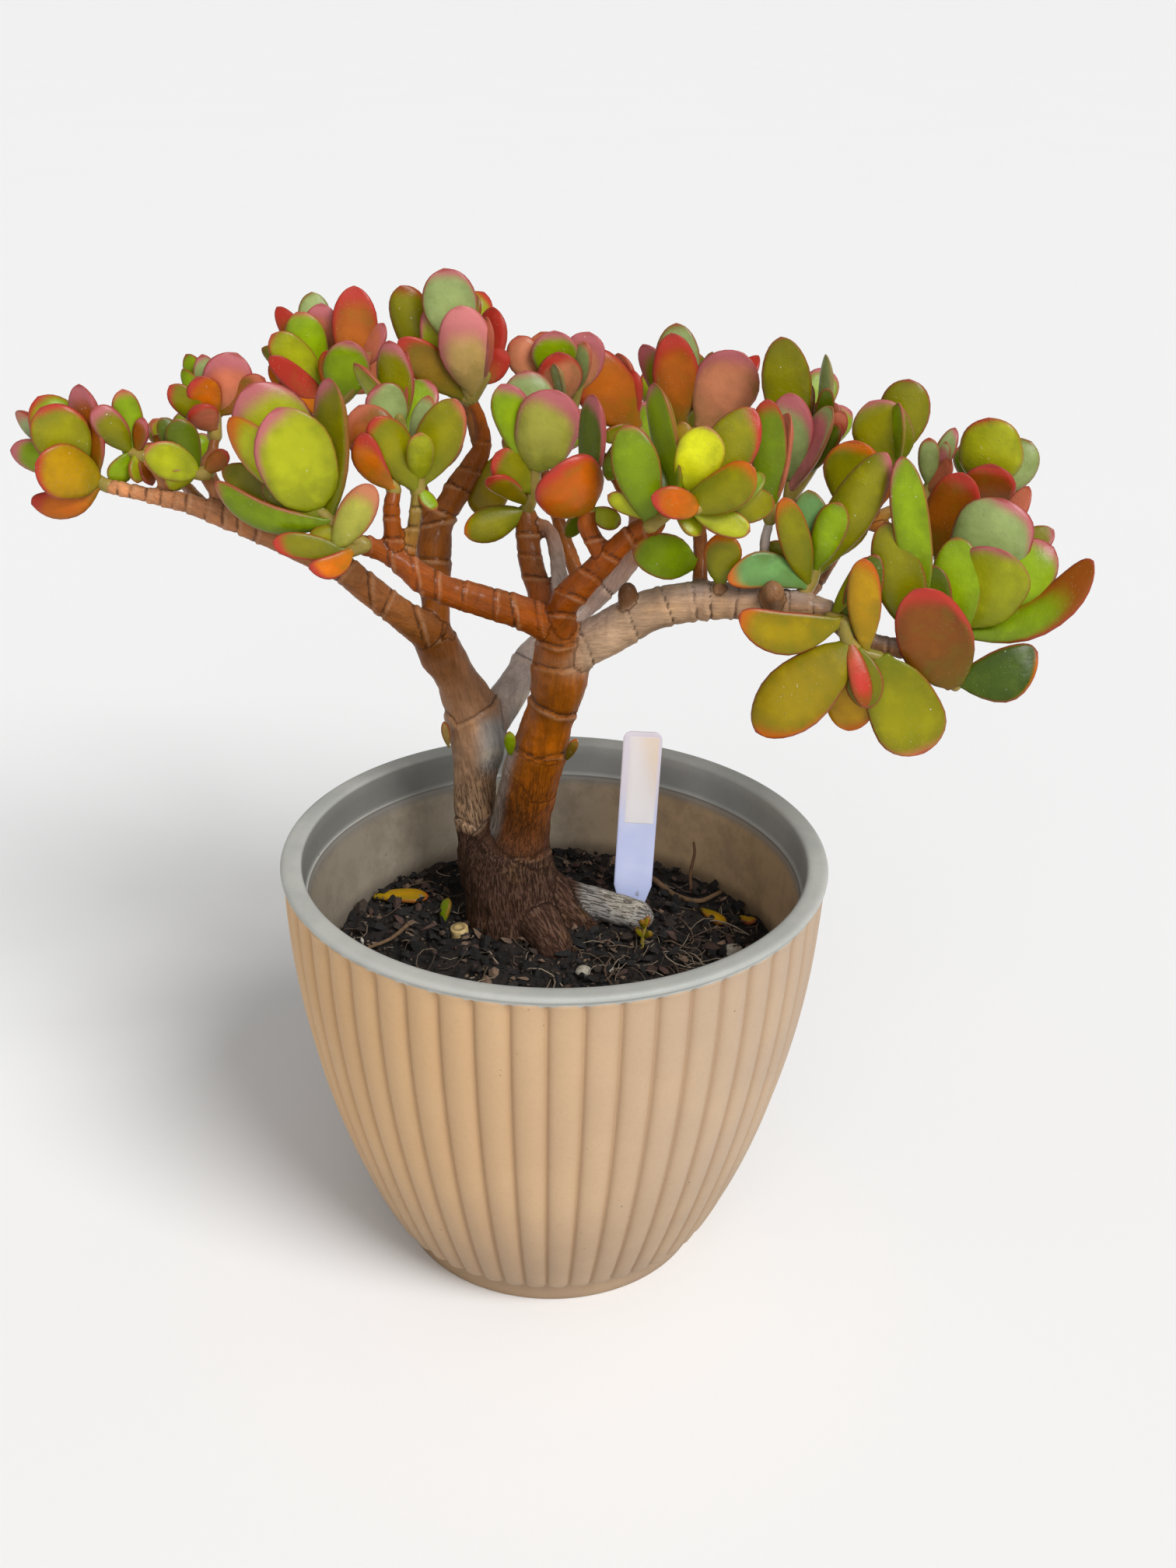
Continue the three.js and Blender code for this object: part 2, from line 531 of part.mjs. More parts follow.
    [31, 109, 22, 131, 14, 9, 0, "dn0"],
    [42, 112, 75, 113, 15, 7, 0, "on1"],
    [41, 110, 65, 101.5, 12, -2, 10, "yY1"],
    [35, 113, 26.5, 161, 18, 7, 55, "gm2"],
    [35, 112, 45, 100, 9, -4, 30, "yn0"],
  ]],
  ["shoot_right_dead_twig", [[[73.1, 106.6, 0], [74, 113, 1]]], [
    [73, 109, 72, 154.5, 15, -2, 0, "dr3"],
    [74, 110, 80.5, 149, 14, 5, 50, "pp4"],
  ]],
  ["leaf_right_inner", [], [
    [44, 88, 18, 95, 18.5, -14, 0, "gO2"],
  ]],
  ["leaf_right_branch", [], [
    [53, 80.5, 55, 101, 15, 0, 0, "oO4"],
  ]],
  ["shoot_right_branch", [[[86.3, 76.6, -3], [90, 82, -2], [92, 91, 0]]], [
    [88, 80, 78.5, 115, 13, -5, 0, "oO3"],
    [91, 86, 88.5, 118, 16, 3, 0, "tn1"],
    [91, 86, 101, 113, 14, -5, 0, "gn0"],
    [91, 84, 120, 133, 19, 4, 0, "om2"],
    [87, 80, 56, 83, 15, -8, 0, "tO3", -5],
    [88, 80, 71, 96, 15, 5, 10, "on1"],
    [90, 83, 97, 106, 16, 7, 0, "dn0"],
    [92, 89, 111, 112, 17, 9, 0, "on1"],
  ]],
  ["leaf_right_rear", [], [
    [105, 109, 107, 138, 23, -3, 0, "oO4"],
  ]],
  ["shoot_right_rear", [
    [[80.9, 114.7, 51.3], [82, 124, 55], [84, 136, 56]],
    [[80.9, 114.7, 51.3], [90, 128, 54], [95, 139, 55]],
  ], [
    [81, 133, 77.5, 179.5, 19.5, 5, 0, "on1"],
    [91, 133, 95.5, 172.5, 10, 3, 60, "dn0"],
    [94, 137, 96, 159, 8, -3, 0, "dn0"],
    [84, 134, 89, 161, 8, 7, 20, "dn0"],
    [82, 122, 81, 157, 18, -10, 0, "km5"],
    [82, 118, 98, 151.5, 14, -7, 45, "mk4"],
    [94, 137, 100, 152.5, 8, 0, 20, "bm3"],
    [93, 134, 103, 149.5, 10, -5, 0, "rp7"],
    [88, 125, 101, 144, 9, -9, 20, "dn1"],
  ]],
  ["shoot_right_upper", [[[122.3, 120.6, 40.1], [124, 128, 40], [125, 139, 41]]], [
    [125, 131, 129, 162.5, 20.5, 4, 0, "on2"],
    [122, 129, 113, 153.5, 24, -6, 0, "om2e"],
    [124, 128, 125, 153, 9, -10, 50, "gm1"],
  ]],
  ["shoot_right_high", [[[134.1, 114.3, 52.3], [138, 121, 54]]], [
    [137, 119, 137, 139, 9, -2, 0, "kr2"],
    [137, 119, 144, 137.5, 8, 3, 20, "mk4"],
    [137, 120, 147.5, 143, 8, 6, 0, "km3"],
    [137, 118, 146, 130, 9, -6, 40, "pp6"],
  ]],
  ["shoot_far_right_upper", [
    [[156.7, 103.7, 41], [161, 112, 40], [163, 122, 40]],
    [[156.7, 103.7, 41], [153, 96, 35], [141, 91, 32]],
  ], [
    [161, 120, 161, 147, 26, 0, 10, "yr2e"],
    [163, 116, 178, 137.5, 19, 5, 0, "tn0"],
    [160, 109, 162, 128.5, 22, -9, 0, "br4"],
    [141, 92, 150.5, 125, 22, -6, 0, "br4"],
  ]],
  ["shoot_far_right", [
    [[125, 54, -12.2], [140, 54, -8], [150, 60, 0], [155, 72, 6], [158, 86, 10]],
    [[139, 54, -8], [144, 45, -9], [147.5, 39.5, -11]],
    [[129, 54, -11], [134, 66, -7], [135, 76, -4]],
  ], [
    [147.5, 39, 131, 78, 29.5, -10, 0, "br5e"],
    [146, 42, 180.5, 53, 21, 2, 0, "dO3", 5],
    [151, 59, 203, 89.5, 17, 0, 15, "nb6", 8],
    [152, 64, 168.5, 93, 31.5, -10, 0, "ym2e"],
    [156, 68, 187, 95, 25, 4, 0, "gm3"],
    [149, 60, 148, 99, 20, 2, 0, "gn0"],
    [137, 54, 138, 88, 18, 7, 0, "dn0"],
    [157, 83, 167, 114.5, 33, 2, 0, "km3e"],
    [158, 84, 187, 102, 14, 8, 10, "om2"],
    [158, 85, 177, 119.5, 11, 12, 20, "pp6"],
    [134.5, 71.5, 126, 131.5, 15.5, 3, 0, "gm1"],
    [131, 60, 119, 105, 20, 6, 0, "on1"],
  ]],
  ["shoot_right_end", [
    [[103, 65, -16], [104, 58, -18], [110, 53, -18], [117, 51, -18]],
    [[103, 65, -16], [97, 67, -13]],
  ], [
    [112, 54, 110.5, 90.5, 14, -3, 0, "wO3"],
    [98, 67, 112.5, 91, 10, 5, 45, "yr3"],
    [107, 60, 116, 92, 14, 7, 0, "dn0"],
    [102, 65.5, 60.5, 67, 18, -6, 10, "oO3", 6],
    [104, 53, 67.5, 21, 27, -9, 0, "oO2"],
    [107, 53, 104.5, 21.5, 20, 2, 0, "YO3"],
    [106, 58, 111.5, 31, 9, -10, 15, "rb5"],
    [110, 57, 113, 30.5, 15, -6, 0, "on0"],
    [117, 51, 135, 12.5, 30, -5, 0, "op2"],
  ]],
];

// Shoots on the side away from the front: name, root (a, b, depth) and its size on the board.
const rearShoots = [
  ["shoot_rear_far_left", -165.4, 124.6, 60.4, 17],
  ["shoot_rear_left", -103.3, 152.2, 105.6, 26],
  ["shoot_rear_left_inner", -69, 118.3, 93.6, 24],
  ["shoot_rear_top", -51.1, 158.3, 107.6, 26],
  ["shoot_rear_centre", -18.2, 126.5, 124.2, 26],
  ["shoot_rear_right_top", 35.3, 132.5, 134.4, 27],
  ["shoot_rear_right", 85, 128.2, 102.6, 26],
  ["shoot_rear_far_right", 159.2, 107.2, 88.6, 22],
];

const bodyColours = {
  y: 0x8c9a3c, Y: 0xb9a743, g: 0x6f8a3f, d: 0x4a6133, o: 0x7c7a35, O: 0xb9803c, b: 0x80603a, k: 0x8b9b76,
  t: 0x6c8a78, r: 0x93373a, m: 0xa4657a, p: 0xbe8a6c, n: 0x6a5a3c, w: 0xb5935a, q: 0xb0806c,
  c: 0xc07a50,
};

function shootColour(leaves) {
  const mean = new THREE.Color(0, 0, 0);
  for (const entry of leaves) {
    const body = new THREE.Color(bodyColours[entry[7][0]]);
    const blush = new THREE.Color(bodyColours[entry[7][1]]);
    mean.add(body.lerp(blush, Number(entry[7][2]) / 12));
  }
  return mean.multiplyScalar(1 / leaves.length);
}

function shootSolid(stems, leaves, grow) {
  const pieces = [];
  const lines = stems.map((line) => line.map(([a, b, y]) => place(a, b, y)));
  for (const line of lines) {
    const radii = line.map((entry, k) => (k === line.length - 1 ? 2.2 : 2.7));
    pieces.push(limb(line.map((entry) => entry.point), radii, 5, grow));
  }
  for (const [a0, b0, a1, b1, width, back, roll, code, bow] of leaves) {
    const [a, b, y] = stems.length ? onStem(stems, a0, b0) : onBark(a0, b0);
    const root = place(a, b, y + Math.max(-1.2, Math.min(1.2, back * 0.2)));
    const tip = place(a1, b1, y + back);
    const real = width * (root.scale + tip.scale) * 0.5;
    const bent = (bow || 0) * tip.scale * Math.sign(a0 - a1);
    const turn = (roll * Math.PI) / 180;
    pieces.push(leaf(root.point, tip.point, real, turn, bent, grow, code.endsWith("e")));
  }
  return joined(pieces);
}

// The point of the stems that is nearest to (a, b) on the board.
function onStem(stems, a, b) {
  let best = Infinity;
  let found = [a, b, 0];
  for (const line of stems) {
    for (let k = 0; k + 1 < line.length; k++) {
      const [a1, b1, y1] = line[k];
      const [a2, b2, y2] = line[k + 1];
      const span = (a2 - a1) ** 2 + (b2 - b1) ** 2;
      const raw = ((a - a1) * (a2 - a1) + (b - b1) * (b2 - b1)) / span;
      const t = Math.min(Math.max(raw, 0), 1);
      const here = [a1 + (a2 - a1) * t, b1 + (b2 - b1) * t, y1 + (y2 - y1) * t];
      const far = (here[0] - a) ** 2 + (here[1] - b) ** 2;
      if (far < best) {
        best = far;
        found = here;
      }
    }
  }
  return found;
}

// A leaf with no stem of its own sits at (a, b), as deep as the wood beside it.
function onBark(a, b) {
  return [a, b, onStem(limbs.map((entry) => entry[1]), a, b)[2]];
}

// A rear shoot has a short stem and three crossed pairs of leaves that open upward and outward.
function rearShootSolid([name, a, b, y, size], index, grow) {
  const foot = place(a, b, y);
  const reach = size * foot.scale;
  const pieces = [];
  const top = foot.point.clone().add(new THREE.Vector3(0, reach * 0.12, reach * 0.9));
  pieces.push(limb([foot.point, top], [2.7, 2.2], 4, grow));
  for (let k = 0; k < 6; k++) {
    const pair = Math.floor(k / 2);
    const turn = (k % 2) * Math.PI + (pair % 2) * (Math.PI / 2) + 0.5 + 0.5 * draw(index * 31 + k);
    const rise = 0.35 + 0.27 * pair + 0.2 * draw(index * 17 + k);
    const length = reach * (1.02 - 0.1 * pair + 0.12 * draw(index * 7 + k));
    const root = foot.point.clone().lerp(top, 0.3 + 0.2 * pair);
    const way = new THREE.Vector3(
      Math.cos(turn) * Math.cos(rise),
      Math.sin(turn) * Math.cos(rise),
      Math.sin(rise),
    );
    const tip = root.clone().addScaledVector(way, length);
    const width = length * (0.52 + 0.14 * draw(index * 5 + k));
    const roll = way.y > 0.1 ? Math.PI : 0;
    pieces.push(leaf(root, tip, width, roll + 0.5 * (draw(index + k * 3) - 0.5), 0, grow));
  }
  return joined(pieces);
}

// Small things on the wood and the soil -------------------------------------------------------

// New buds that break from the trunk's bark: root, tip, width and depth at the bark's face.
const buds = [
  ["bud_trunk_front", -31, 12, -31.5, 21, 4.5, 7, 0x6f8a4a],
  ["bud_trunk_left", -56, 15, -57.8, 25, 3.6, 30, 0xc28a3a],
  ["bud_trunk_right", -8.5, 10, -4.5, 18, 3.8, 9, 0x8f7f3a],
];

function stakeSolid(grow) {
  const low = place(17.3, -50, 43).point;
  const high = place(22.3, 21, 47).point;
  const way = high.clone().sub(low).normalize();
  const side = new THREE.Vector3(1, 0, 0).addScaledVector(way, -way.x).normalize();
  const face = side.clone().cross(way);
  const half = stakeWidth / 2 + grow;
  const length = high.distanceTo(low);
  const outline = [[-2, -14], [2, -14], [4.6, 0], [half, 11], [half, length - 2.5], [half - 2.5, length]];
  outline.push([2.5 - half, length], [-half, length - 2.5], [-half, 11], [-4.6, 0]);
  const rings = [-1, 1].map((sign) =>
    outline.map(([u, v]) => {
      const p = low.clone().addScaledVector(side, u).addScaledVector(way, v);
      return p.addScaledVector(face, sign * (stakeThickness / 2 + grow));
    }),
  );
  const middle = low.clone().addScaledVector(way, length / 2);
  const back = middle.clone().addScaledVector(face, -(stakeThickness / 2 + grow));
  const front = middle.clone().addScaledVector(face, stakeThickness / 2 + grow);
  return skin(rings, back, front);
}

// A leaf that has dropped lies on the soil: root (x, y), tip (x, y), width and rise of its tip.
const droppedLeaves = [
  ["dropped_leaf", -77, 45, -54, 44, 9, 0, 0xc98a35],
  ["dropped_leaf_small", -46.5, 25, -44.5, 31, 6, 6, 0x66803c],
  ["dropped_leaf_right", 61, 41, 69.5, 27, 7, 1, 0xa97c40],
  ["dropped_leaf_right_end", 77, 36, 82, 28, 5.5, 1, 0x9a7440],
];

function droppedLeaf([, x0, y0, x1, y1, width, rise], grow) {
  const lift = leafThickness * 0.32;
  const root = new THREE.Vector3(x0, y0, soilHeight(x0, y0) + lift);
  const tip = new THREE.Vector3(x1, y1, soilHeight(x1, y1) + lift + rise);
  return leaf(root, tip, width, 0.9, 0, grow);
}

// Pebbles: x, y and size.
const stones = [
  ["stone_right", 71.5, 8, 8, 0x8f887c],
  ["stone_front", 11.7, -11, 6, 0x8a9088],
];

function stone([, x, y, size], grow) {
  const geometry = new THREE.IcosahedronGeometry(size / 2 + grow, 0);
  geometry.scale(1.15, 0.95, 0.7);
  geometry.rotateZ(0.6);
  geometry.translate(x, y, soilHeight(x, y) + size * 0.12);
  return solidOf(geometry);
}

// The sprout is a thin stem with two small pairs of leaves: the way of each leaf, then the share
// of the stem where it grows.
const sproutPlace = [34.5, 9];
const sproutLeaves = [
  [3.2, -2, 3.5, 0.7],
  [-2.8, 1.4, 4, 0.7],
  [1.6, 2, 4.5, 0.96],
  [-1.4, -2, 4.8, 0.96],
];

function sproutSolid(grow) {
  const [x, y] = sproutPlace;
  const foot = new THREE.Vector3(x, y, soilHeight(x, y) - 6);
  const top = foot.clone().add(new THREE.Vector3(1.5, 1, 16));
  const pieces = [limb([foot, top], [1.3, 1.1], 6, grow)];
  for (const [dx, dy, dz, from] of sproutLeaves) {
    const root = foot.clone().lerp(top, from);
    const tip = root.clone().add(new THREE.Vector3(dx, dy, dz));
    pieces.push(leaf(root, tip, 2.8, 0.2, 0, grow));
  }
  return joined(pieces);
}

const stubPlace = [-38, 17.5];

function cutStubSolid(grow) {
  const [x, y] = stubPlace;
  const foot = new THREE.Vector3(x, y, soilHeight(x, y) - 12);
  const top = foot.clone().add(new THREE.Vector3(-1, -2, 17));
  return limb([foot, top], [3.8, 3.6], 8, grow);
}

// Assembly ---------------------------------------------------------------------------------------

const jadeBonsai = new THREE.Group();

function addNode(name, solid, colour, roughness) {
  const bodies = solid.decompose();
  bodies.sort((p, q) => q.volume() - p.volume());
  const mesh = bodies[0].getMesh();
  const geometry = new THREE.BufferGeometry();
  const points = new Float32Array(mesh.numVert * 3);
  for (let i = 0; i < mesh.numVert; i++) {
    for (let k = 0; k < 3; k++) points[i * 3 + k] = mesh.vertProperties[i * mesh.numProp + k];
  }
  geometry.setAttribute("position", new THREE.BufferAttribute(points, 3));
  geometry.setIndex(new THREE.BufferAttribute(new Uint32Array(mesh.triVerts), 1));
  geometry.computeVertexNormals();
  const material = new THREE.MeshStandardMaterial({ color: colour, roughness, metalness: 0 });
  const node = new THREE.Mesh(geometry, material);
  node.name = name;
  jadeBonsai.add(node);
  return bodies[0];
}

function boxesMeet(p, q) {
  const [a, b] = [p.boundingBox(), q.boundingBox()];
  return [0, 1, 2].every((k) => a.min[k] < b.max[k] && b.min[k] < a.max[k]);
}

// What already stands keeps its shape: a later piece gives way to a slightly larger copy of it.
const standing = [];

function settle(name, solid, grown, colour, roughness) {
  let free = solid;
  for (const other of standing) {
    if (boxesMeet(free, other)) free = free.subtract(other);
  }
  const kept = addNode(name, free, colour, roughness);
  standing.push(grown);
  return kept;
}

addNode("pot", potSolid(), 0xc3a184, 0.65);
const wood = woodSolid(0);
const woodGrown = woodSolid(clearance);
addNode("trunk_and_branches", wood, 0x8a6242, 0.85);
standing.push(woodGrown);

const frontFirst = shoots.map((entry) => entry);
frontFirst.sort((p, q) => shootNear(p) - shootNear(q));

function shootNear([name, stems]) {
  return stems.length ? stems[0][0][2] : 0;
}

for (const [name, stems, leaves] of frontFirst) {
  const solid = shootSolid(stems, leaves, 0);
  const grown = shootSolid(stems, leaves, clearance);
  settle(name, solid, grown, shootColour(leaves), 0.4);
}
rearShoots.forEach((entry, index) => {
  const solid = rearShootSolid(entry, index, 0);
  settle(entry[0], solid, rearShootSolid(entry, index, clearance), 0x74833f, 0.4);
});
for (const [name, a0, b0, a1, b1, width, y, colour] of buds) {
  const root = place(a0, b0, y + 4).point;
  const tip = place(a1, b1, y - 1).point;
  settle(name, leaf(root, tip, width, 0.2, 0, 0), leaf(root, tip, width, 0.2, 0, clearance), colour, 0.5);
}
settle("label_stake", stakeSolid(0), stakeSolid(clearance), 0xd9d7e0, 0.5);
settle("sprout", sproutSolid(0), sproutSolid(clearance), 0x6f8f4a, 0.5);
settle("cut_stub", cutStubSolid(0), cutStubSolid(clearance), 0xb59a5a, 0.8);
for (const entry of droppedLeaves) {
  settle(entry[0], droppedLeaf(entry, 0), droppedLeaf(entry, clearance), entry[7], 0.5);
}
for (const entry of stones) {
  settle(entry[0], stone(entry, 0), stone(entry, clearance), entry[4], 0.9);
}

let soil = soilSolid();
for (const other of standing) {
  if (boxesMeet(soil, other)) soil = soil.subtract(other);
}
addNode("soil", soil, 0x33251c, 0.95);

export default jadeBonsai;
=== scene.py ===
import itertools
import math

import bpy
import numpy as np
from mathutils import Matrix, Vector


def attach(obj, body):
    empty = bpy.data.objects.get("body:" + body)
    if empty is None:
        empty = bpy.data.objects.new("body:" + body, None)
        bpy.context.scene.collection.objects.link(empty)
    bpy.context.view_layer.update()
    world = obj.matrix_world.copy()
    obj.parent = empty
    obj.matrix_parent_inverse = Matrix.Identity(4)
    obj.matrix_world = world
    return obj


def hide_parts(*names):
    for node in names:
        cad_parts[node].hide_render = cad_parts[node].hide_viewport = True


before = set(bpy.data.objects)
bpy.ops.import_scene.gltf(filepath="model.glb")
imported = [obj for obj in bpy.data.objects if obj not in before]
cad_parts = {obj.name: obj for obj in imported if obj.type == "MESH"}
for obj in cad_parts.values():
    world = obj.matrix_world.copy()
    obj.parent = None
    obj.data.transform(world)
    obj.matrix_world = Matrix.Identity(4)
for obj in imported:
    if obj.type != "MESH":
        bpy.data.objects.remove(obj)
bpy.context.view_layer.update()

print("frame loaded:", len(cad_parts), "nodes")

# Sizes are in millimetres here and go into the meshes as metres.
# a and b are mm to the right and up on a sloping board in front of the plant, y is depth.
board = {"eye": (12.17, -598.37, 494.33), "distance": 707.3, "lookDown": 0.4596, "lookRoll": 0.0197}
eye = np.array(board["eye"])
ahead = np.array([0, math.cos(board["lookDown"]), -math.sin(board["lookDown"])])
plainUp = np.array([0, math.sin(board["lookDown"]), math.cos(board["lookDown"])])
plainRight = np.array([1.0, 0, 0])
across = plainRight * math.cos(board["lookRoll"]) + plainUp * math.sin(board["lookRoll"])
upward = plainUp * math.cos(board["lookRoll"]) - plainRight * math.sin(board["lookRoll"])


def place(a, b, y):
    # P = eye + s (D ahead + a across + b upward), where s puts P at depth y
    a, b, y = (np.asarray(v, float) for v in (a, b, y))
    ray = board["distance"] * ahead + a[..., None] * across + b[..., None] * upward
    scale = (y - eye[1]) / ray[..., 1]
    return eye + ray * scale[..., None], scale


def onBoard(points):
    # the board place of a real point: (a, b) = D (across, upward) . q / (ahead . q), q = P - eye
    q = points - eye
    depth = q @ ahead
    return board["distance"] * np.stack([q @ across / depth, q @ upward / depth], axis=-1)


def draw(n):
    # a fixed share of 0 to 1 for each number: what is after the point in 43758.5 sin(12.99 n + 4.1)
    value = np.sin(np.asarray(n) * 12.9898 + 4.1) * 43758.5453
    return value - np.floor(value)


def unit(v):
    # each vector divided by its length
    return v / np.maximum(np.linalg.norm(v, axis=-1, keepdims=True), 1e-9)


def ease(low, high, x):
    # smooth step: 3 w^2 - 2 w^3 with w = (x - low) / (high - low) kept in 0 to 1
    w = np.clip((x - low) / (high - low), 0, 1)
    return w * w * (3 - 2 * w)


def grain(points, size, seed):
    # value noise from -1 to 1: eight seeded corner values mixed by w = f^2 (3 - 2 f)
    cell = points / size
    low = np.floor(cell).astype(np.int64)
    f = cell - low
    w = f * f * (3 - 2 * f)
    total = np.zeros(len(points))
    for corner in itertools.product((0, 1), repeat=3):
        c = low + np.array(corner)
        mixed = (c[:, 0] * 73856093) ^ (c[:, 1] * 19349663) ^ (c[:, 2] * 83492791) ^ (seed * 2654435)
        mixed = (mixed ^ (mixed >> 13)) * 1274126177
        value = ((mixed ^ (mixed >> 16)) & 0xFFFFF) / 0xFFFFF
        share = np.prod(np.where(np.array(corner) == 1, w, 1 - w), axis=1)
        total += value * share
    return total * 2 - 1


def linear(rgb):
    # screen colour of 0 to 255 to scene-linear: ((c + 0.055) / 1.055) ^ 2.4
    c = np.asarray(rgb, float) / 255
    return np.where(c <= 0.04045, c / 12.92, ((c + 0.055) / 1.055) ** 2.4)


def colour(rgb):
    # the same with an alpha of 1, as sockets take it
    return (*linear(rgb), 1.0)


# Meshes

def meshFrom(name, points, quads, tris, smooth=True):
    # a mesh of quads and triangles over points in mm
    quads = np.asarray(quads, np.int32).reshape(-1, 4)
    tris = np.asarray(tris, np.int32).reshape(-1, 3)
    mesh = bpy.data.meshes.new(name)
    mesh.vertices.add(len(points))
    mesh.vertices.foreach_set("co", (np.asarray(points) * 0.001).astype(np.float32).ravel())
    corners = np.concatenate([quads.ravel(), tris.ravel()])
    starts = np.concatenate([np.arange(len(quads)) * 4, len(quads) * 4 + np.arange(len(tris)) * 3])
    mesh.loops.add(len(corners))
    mesh.loops.foreach_set("vertex_index", corners)
    mesh.polygons.add(len(starts))
    mesh.polygons.foreach_set("loop_start", starts.astype(np.int32))
    mesh.update(calc_edges=True)
    mesh.validate()
    mesh.polygons.foreach_set("use_smooth", np.full(len(mesh.polygons), smooth))
    return mesh


def addAttribute(mesh, name, kind, values):
    # one value for each point, for the materials to read
    layer = mesh.attributes.new(name, kind, "POINT")
    field = {"FLOAT": "value", "FLOAT_VECTOR": "vector", "FLOAT_COLOR": "color"}[kind]
    layer.data.foreach_set(field, np.asarray(values, np.float32).ravel())


def addPiece(name, mesh, material, slotName, *nodes):
    # a finished object at the origin that takes the place of the named nodes
    piece = bpy.data.objects.new(name, mesh)
    bpy.context.scene.collection.objects.link(piece)
    mesh.materials.append(material)
    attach(piece, "root")
    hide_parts(*nodes)


def ringGrid(rows, columns):
    # quads between rings of equally many points, counter-clockwise from outside
    k, i = np.meshgrid(np.arange(rows - 1), np.arange(columns), indexing="ij")
    j = (i + 1) % columns
    low, high = k * columns, (k + 1) * columns
    return np.stack([low + i, low + j, high + j, high + i], axis=-1).reshape(-1, 4)


def closedRings(rings):
    # rings (rows, columns, 3) with a middle point at each end: points, quads, triangles
    rows, columns = rings.shape[:2]
    points = np.concatenate([rings.reshape(-1, 3), rings[:1].mean(axis=1), rings[-1:].mean(axis=1)])
    i = np.arange(columns)
    j = (i + 1) % columns
    first, last = rows * columns, rows * columns + 1
    base = (rows - 1) * columns
    tris = np.concatenate([
        np.stack([np.full(columns, first), j, i], axis=-1),
        np.stack([np.full(columns, last), base + i, base + j], axis=-1),
    ])
    return points, ringGrid(rows, columns), tris


def smoothLine(points, radii, step):
    # Catmull-Rom through the points: half of (2 p1 + (p2 - p0) t + (2 p0 - 5 p1 + 4 p2 - p3) t^2
    # + (3 p1 - p0 - 3 p2 + p3) t^3)
    data = np.column_stack([points, radii])
    p = np.vstack([2 * data[0] - data[1], data, 2 * data[-1] - data[-2]])
    made = []
    for k in range(1, len(p) - 2):
        count = max(1, int(round(np.linalg.norm(p[k + 1, :3] - p[k, :3]) / step)))
        t = (np.arange(count) / count)[:, None]
        p0, p1, p2, p3 = p[k - 1], p[k], p[k + 1], p[k + 2]
        cubic = 3 * p1 - p0 - 3 * p2 + p3
        made.append(0.5 * (2 * p1 + (p2 - p0) * t + (2 * p0 - 5 * p1 + 4 * p2 - p3) * t**2 + cubic * t**3))
    made.append(data[-1:])
    line = np.vstack(made)
    return line[:, :3], np.maximum(line[:, 3], 0.3)


def tube(points, radii, sides, roundEnd=True):
    # ring k = P_k + r_k (cos q S_k + sin q N_k), with S_k carried along the path; ends are domed
    if len(points) > 2:
        way = unit(np.gradient(points, axis=0))
    else:
        way = np.repeat(unit(points[1:] - points[:1]), 2, axis=0)
    side = np.array([1, 0.1, 0.2]) if abs(way[:, 1].mean()) > 0.6 else np.array([0.1, 1, 0.2])
    carried = []
    for w in way:
        side = unit(side - w * (side @ w))
        carried.append(side)
    side = np.array(carried)
    if roundEnd:
        dome = np.array([[0.25, 0.93], [0.65, 0.7], [0.92, 0.35]])
        before = points[:1] - way[:1] * radii[0] * dome[::-1, :1]
        beyond = points[-1:] + way[-1:] * radii[-1] * dome[:, :1]
        points = np.vstack([before, points, beyond])
        radii = np.concatenate([radii[0] * dome[::-1, 1], radii, radii[-1] * dome[:, 1]])
        way = np.vstack([np.repeat(way[:1], 3, axis=0), way, np.repeat(way[-1:], 3, axis=0)])
        side = np.vstack([np.repeat(side[:1], 3, axis=0), side, np.repeat(side[-1:], 3, axis=0)])
    other = np.cross(way, side)
    turn = 2 * np.pi * np.arange(sides) / sides
    ring = side[:, None] * np.cos(turn)[None, :, None] + other[:, None] * np.sin(turn)[None, :, None]
    return closedRings(points[:, None] + ring * radii[:, None, None])


def gather(parts):
    # one point list from several, with their quads and triangles moved up to match
    points, quads, tris, start = [], [], [], 0
    for p, q, t in parts:
        points.append(p)
        quads.append(np.asarray(q).reshape(-1, 4) + start)
        tris.append(np.asarray(t).reshape(-1, 3) + start)
        start += len(p)
    return np.concatenate(points), np.concatenate(quads), np.concatenate(tris)


# Shader maths

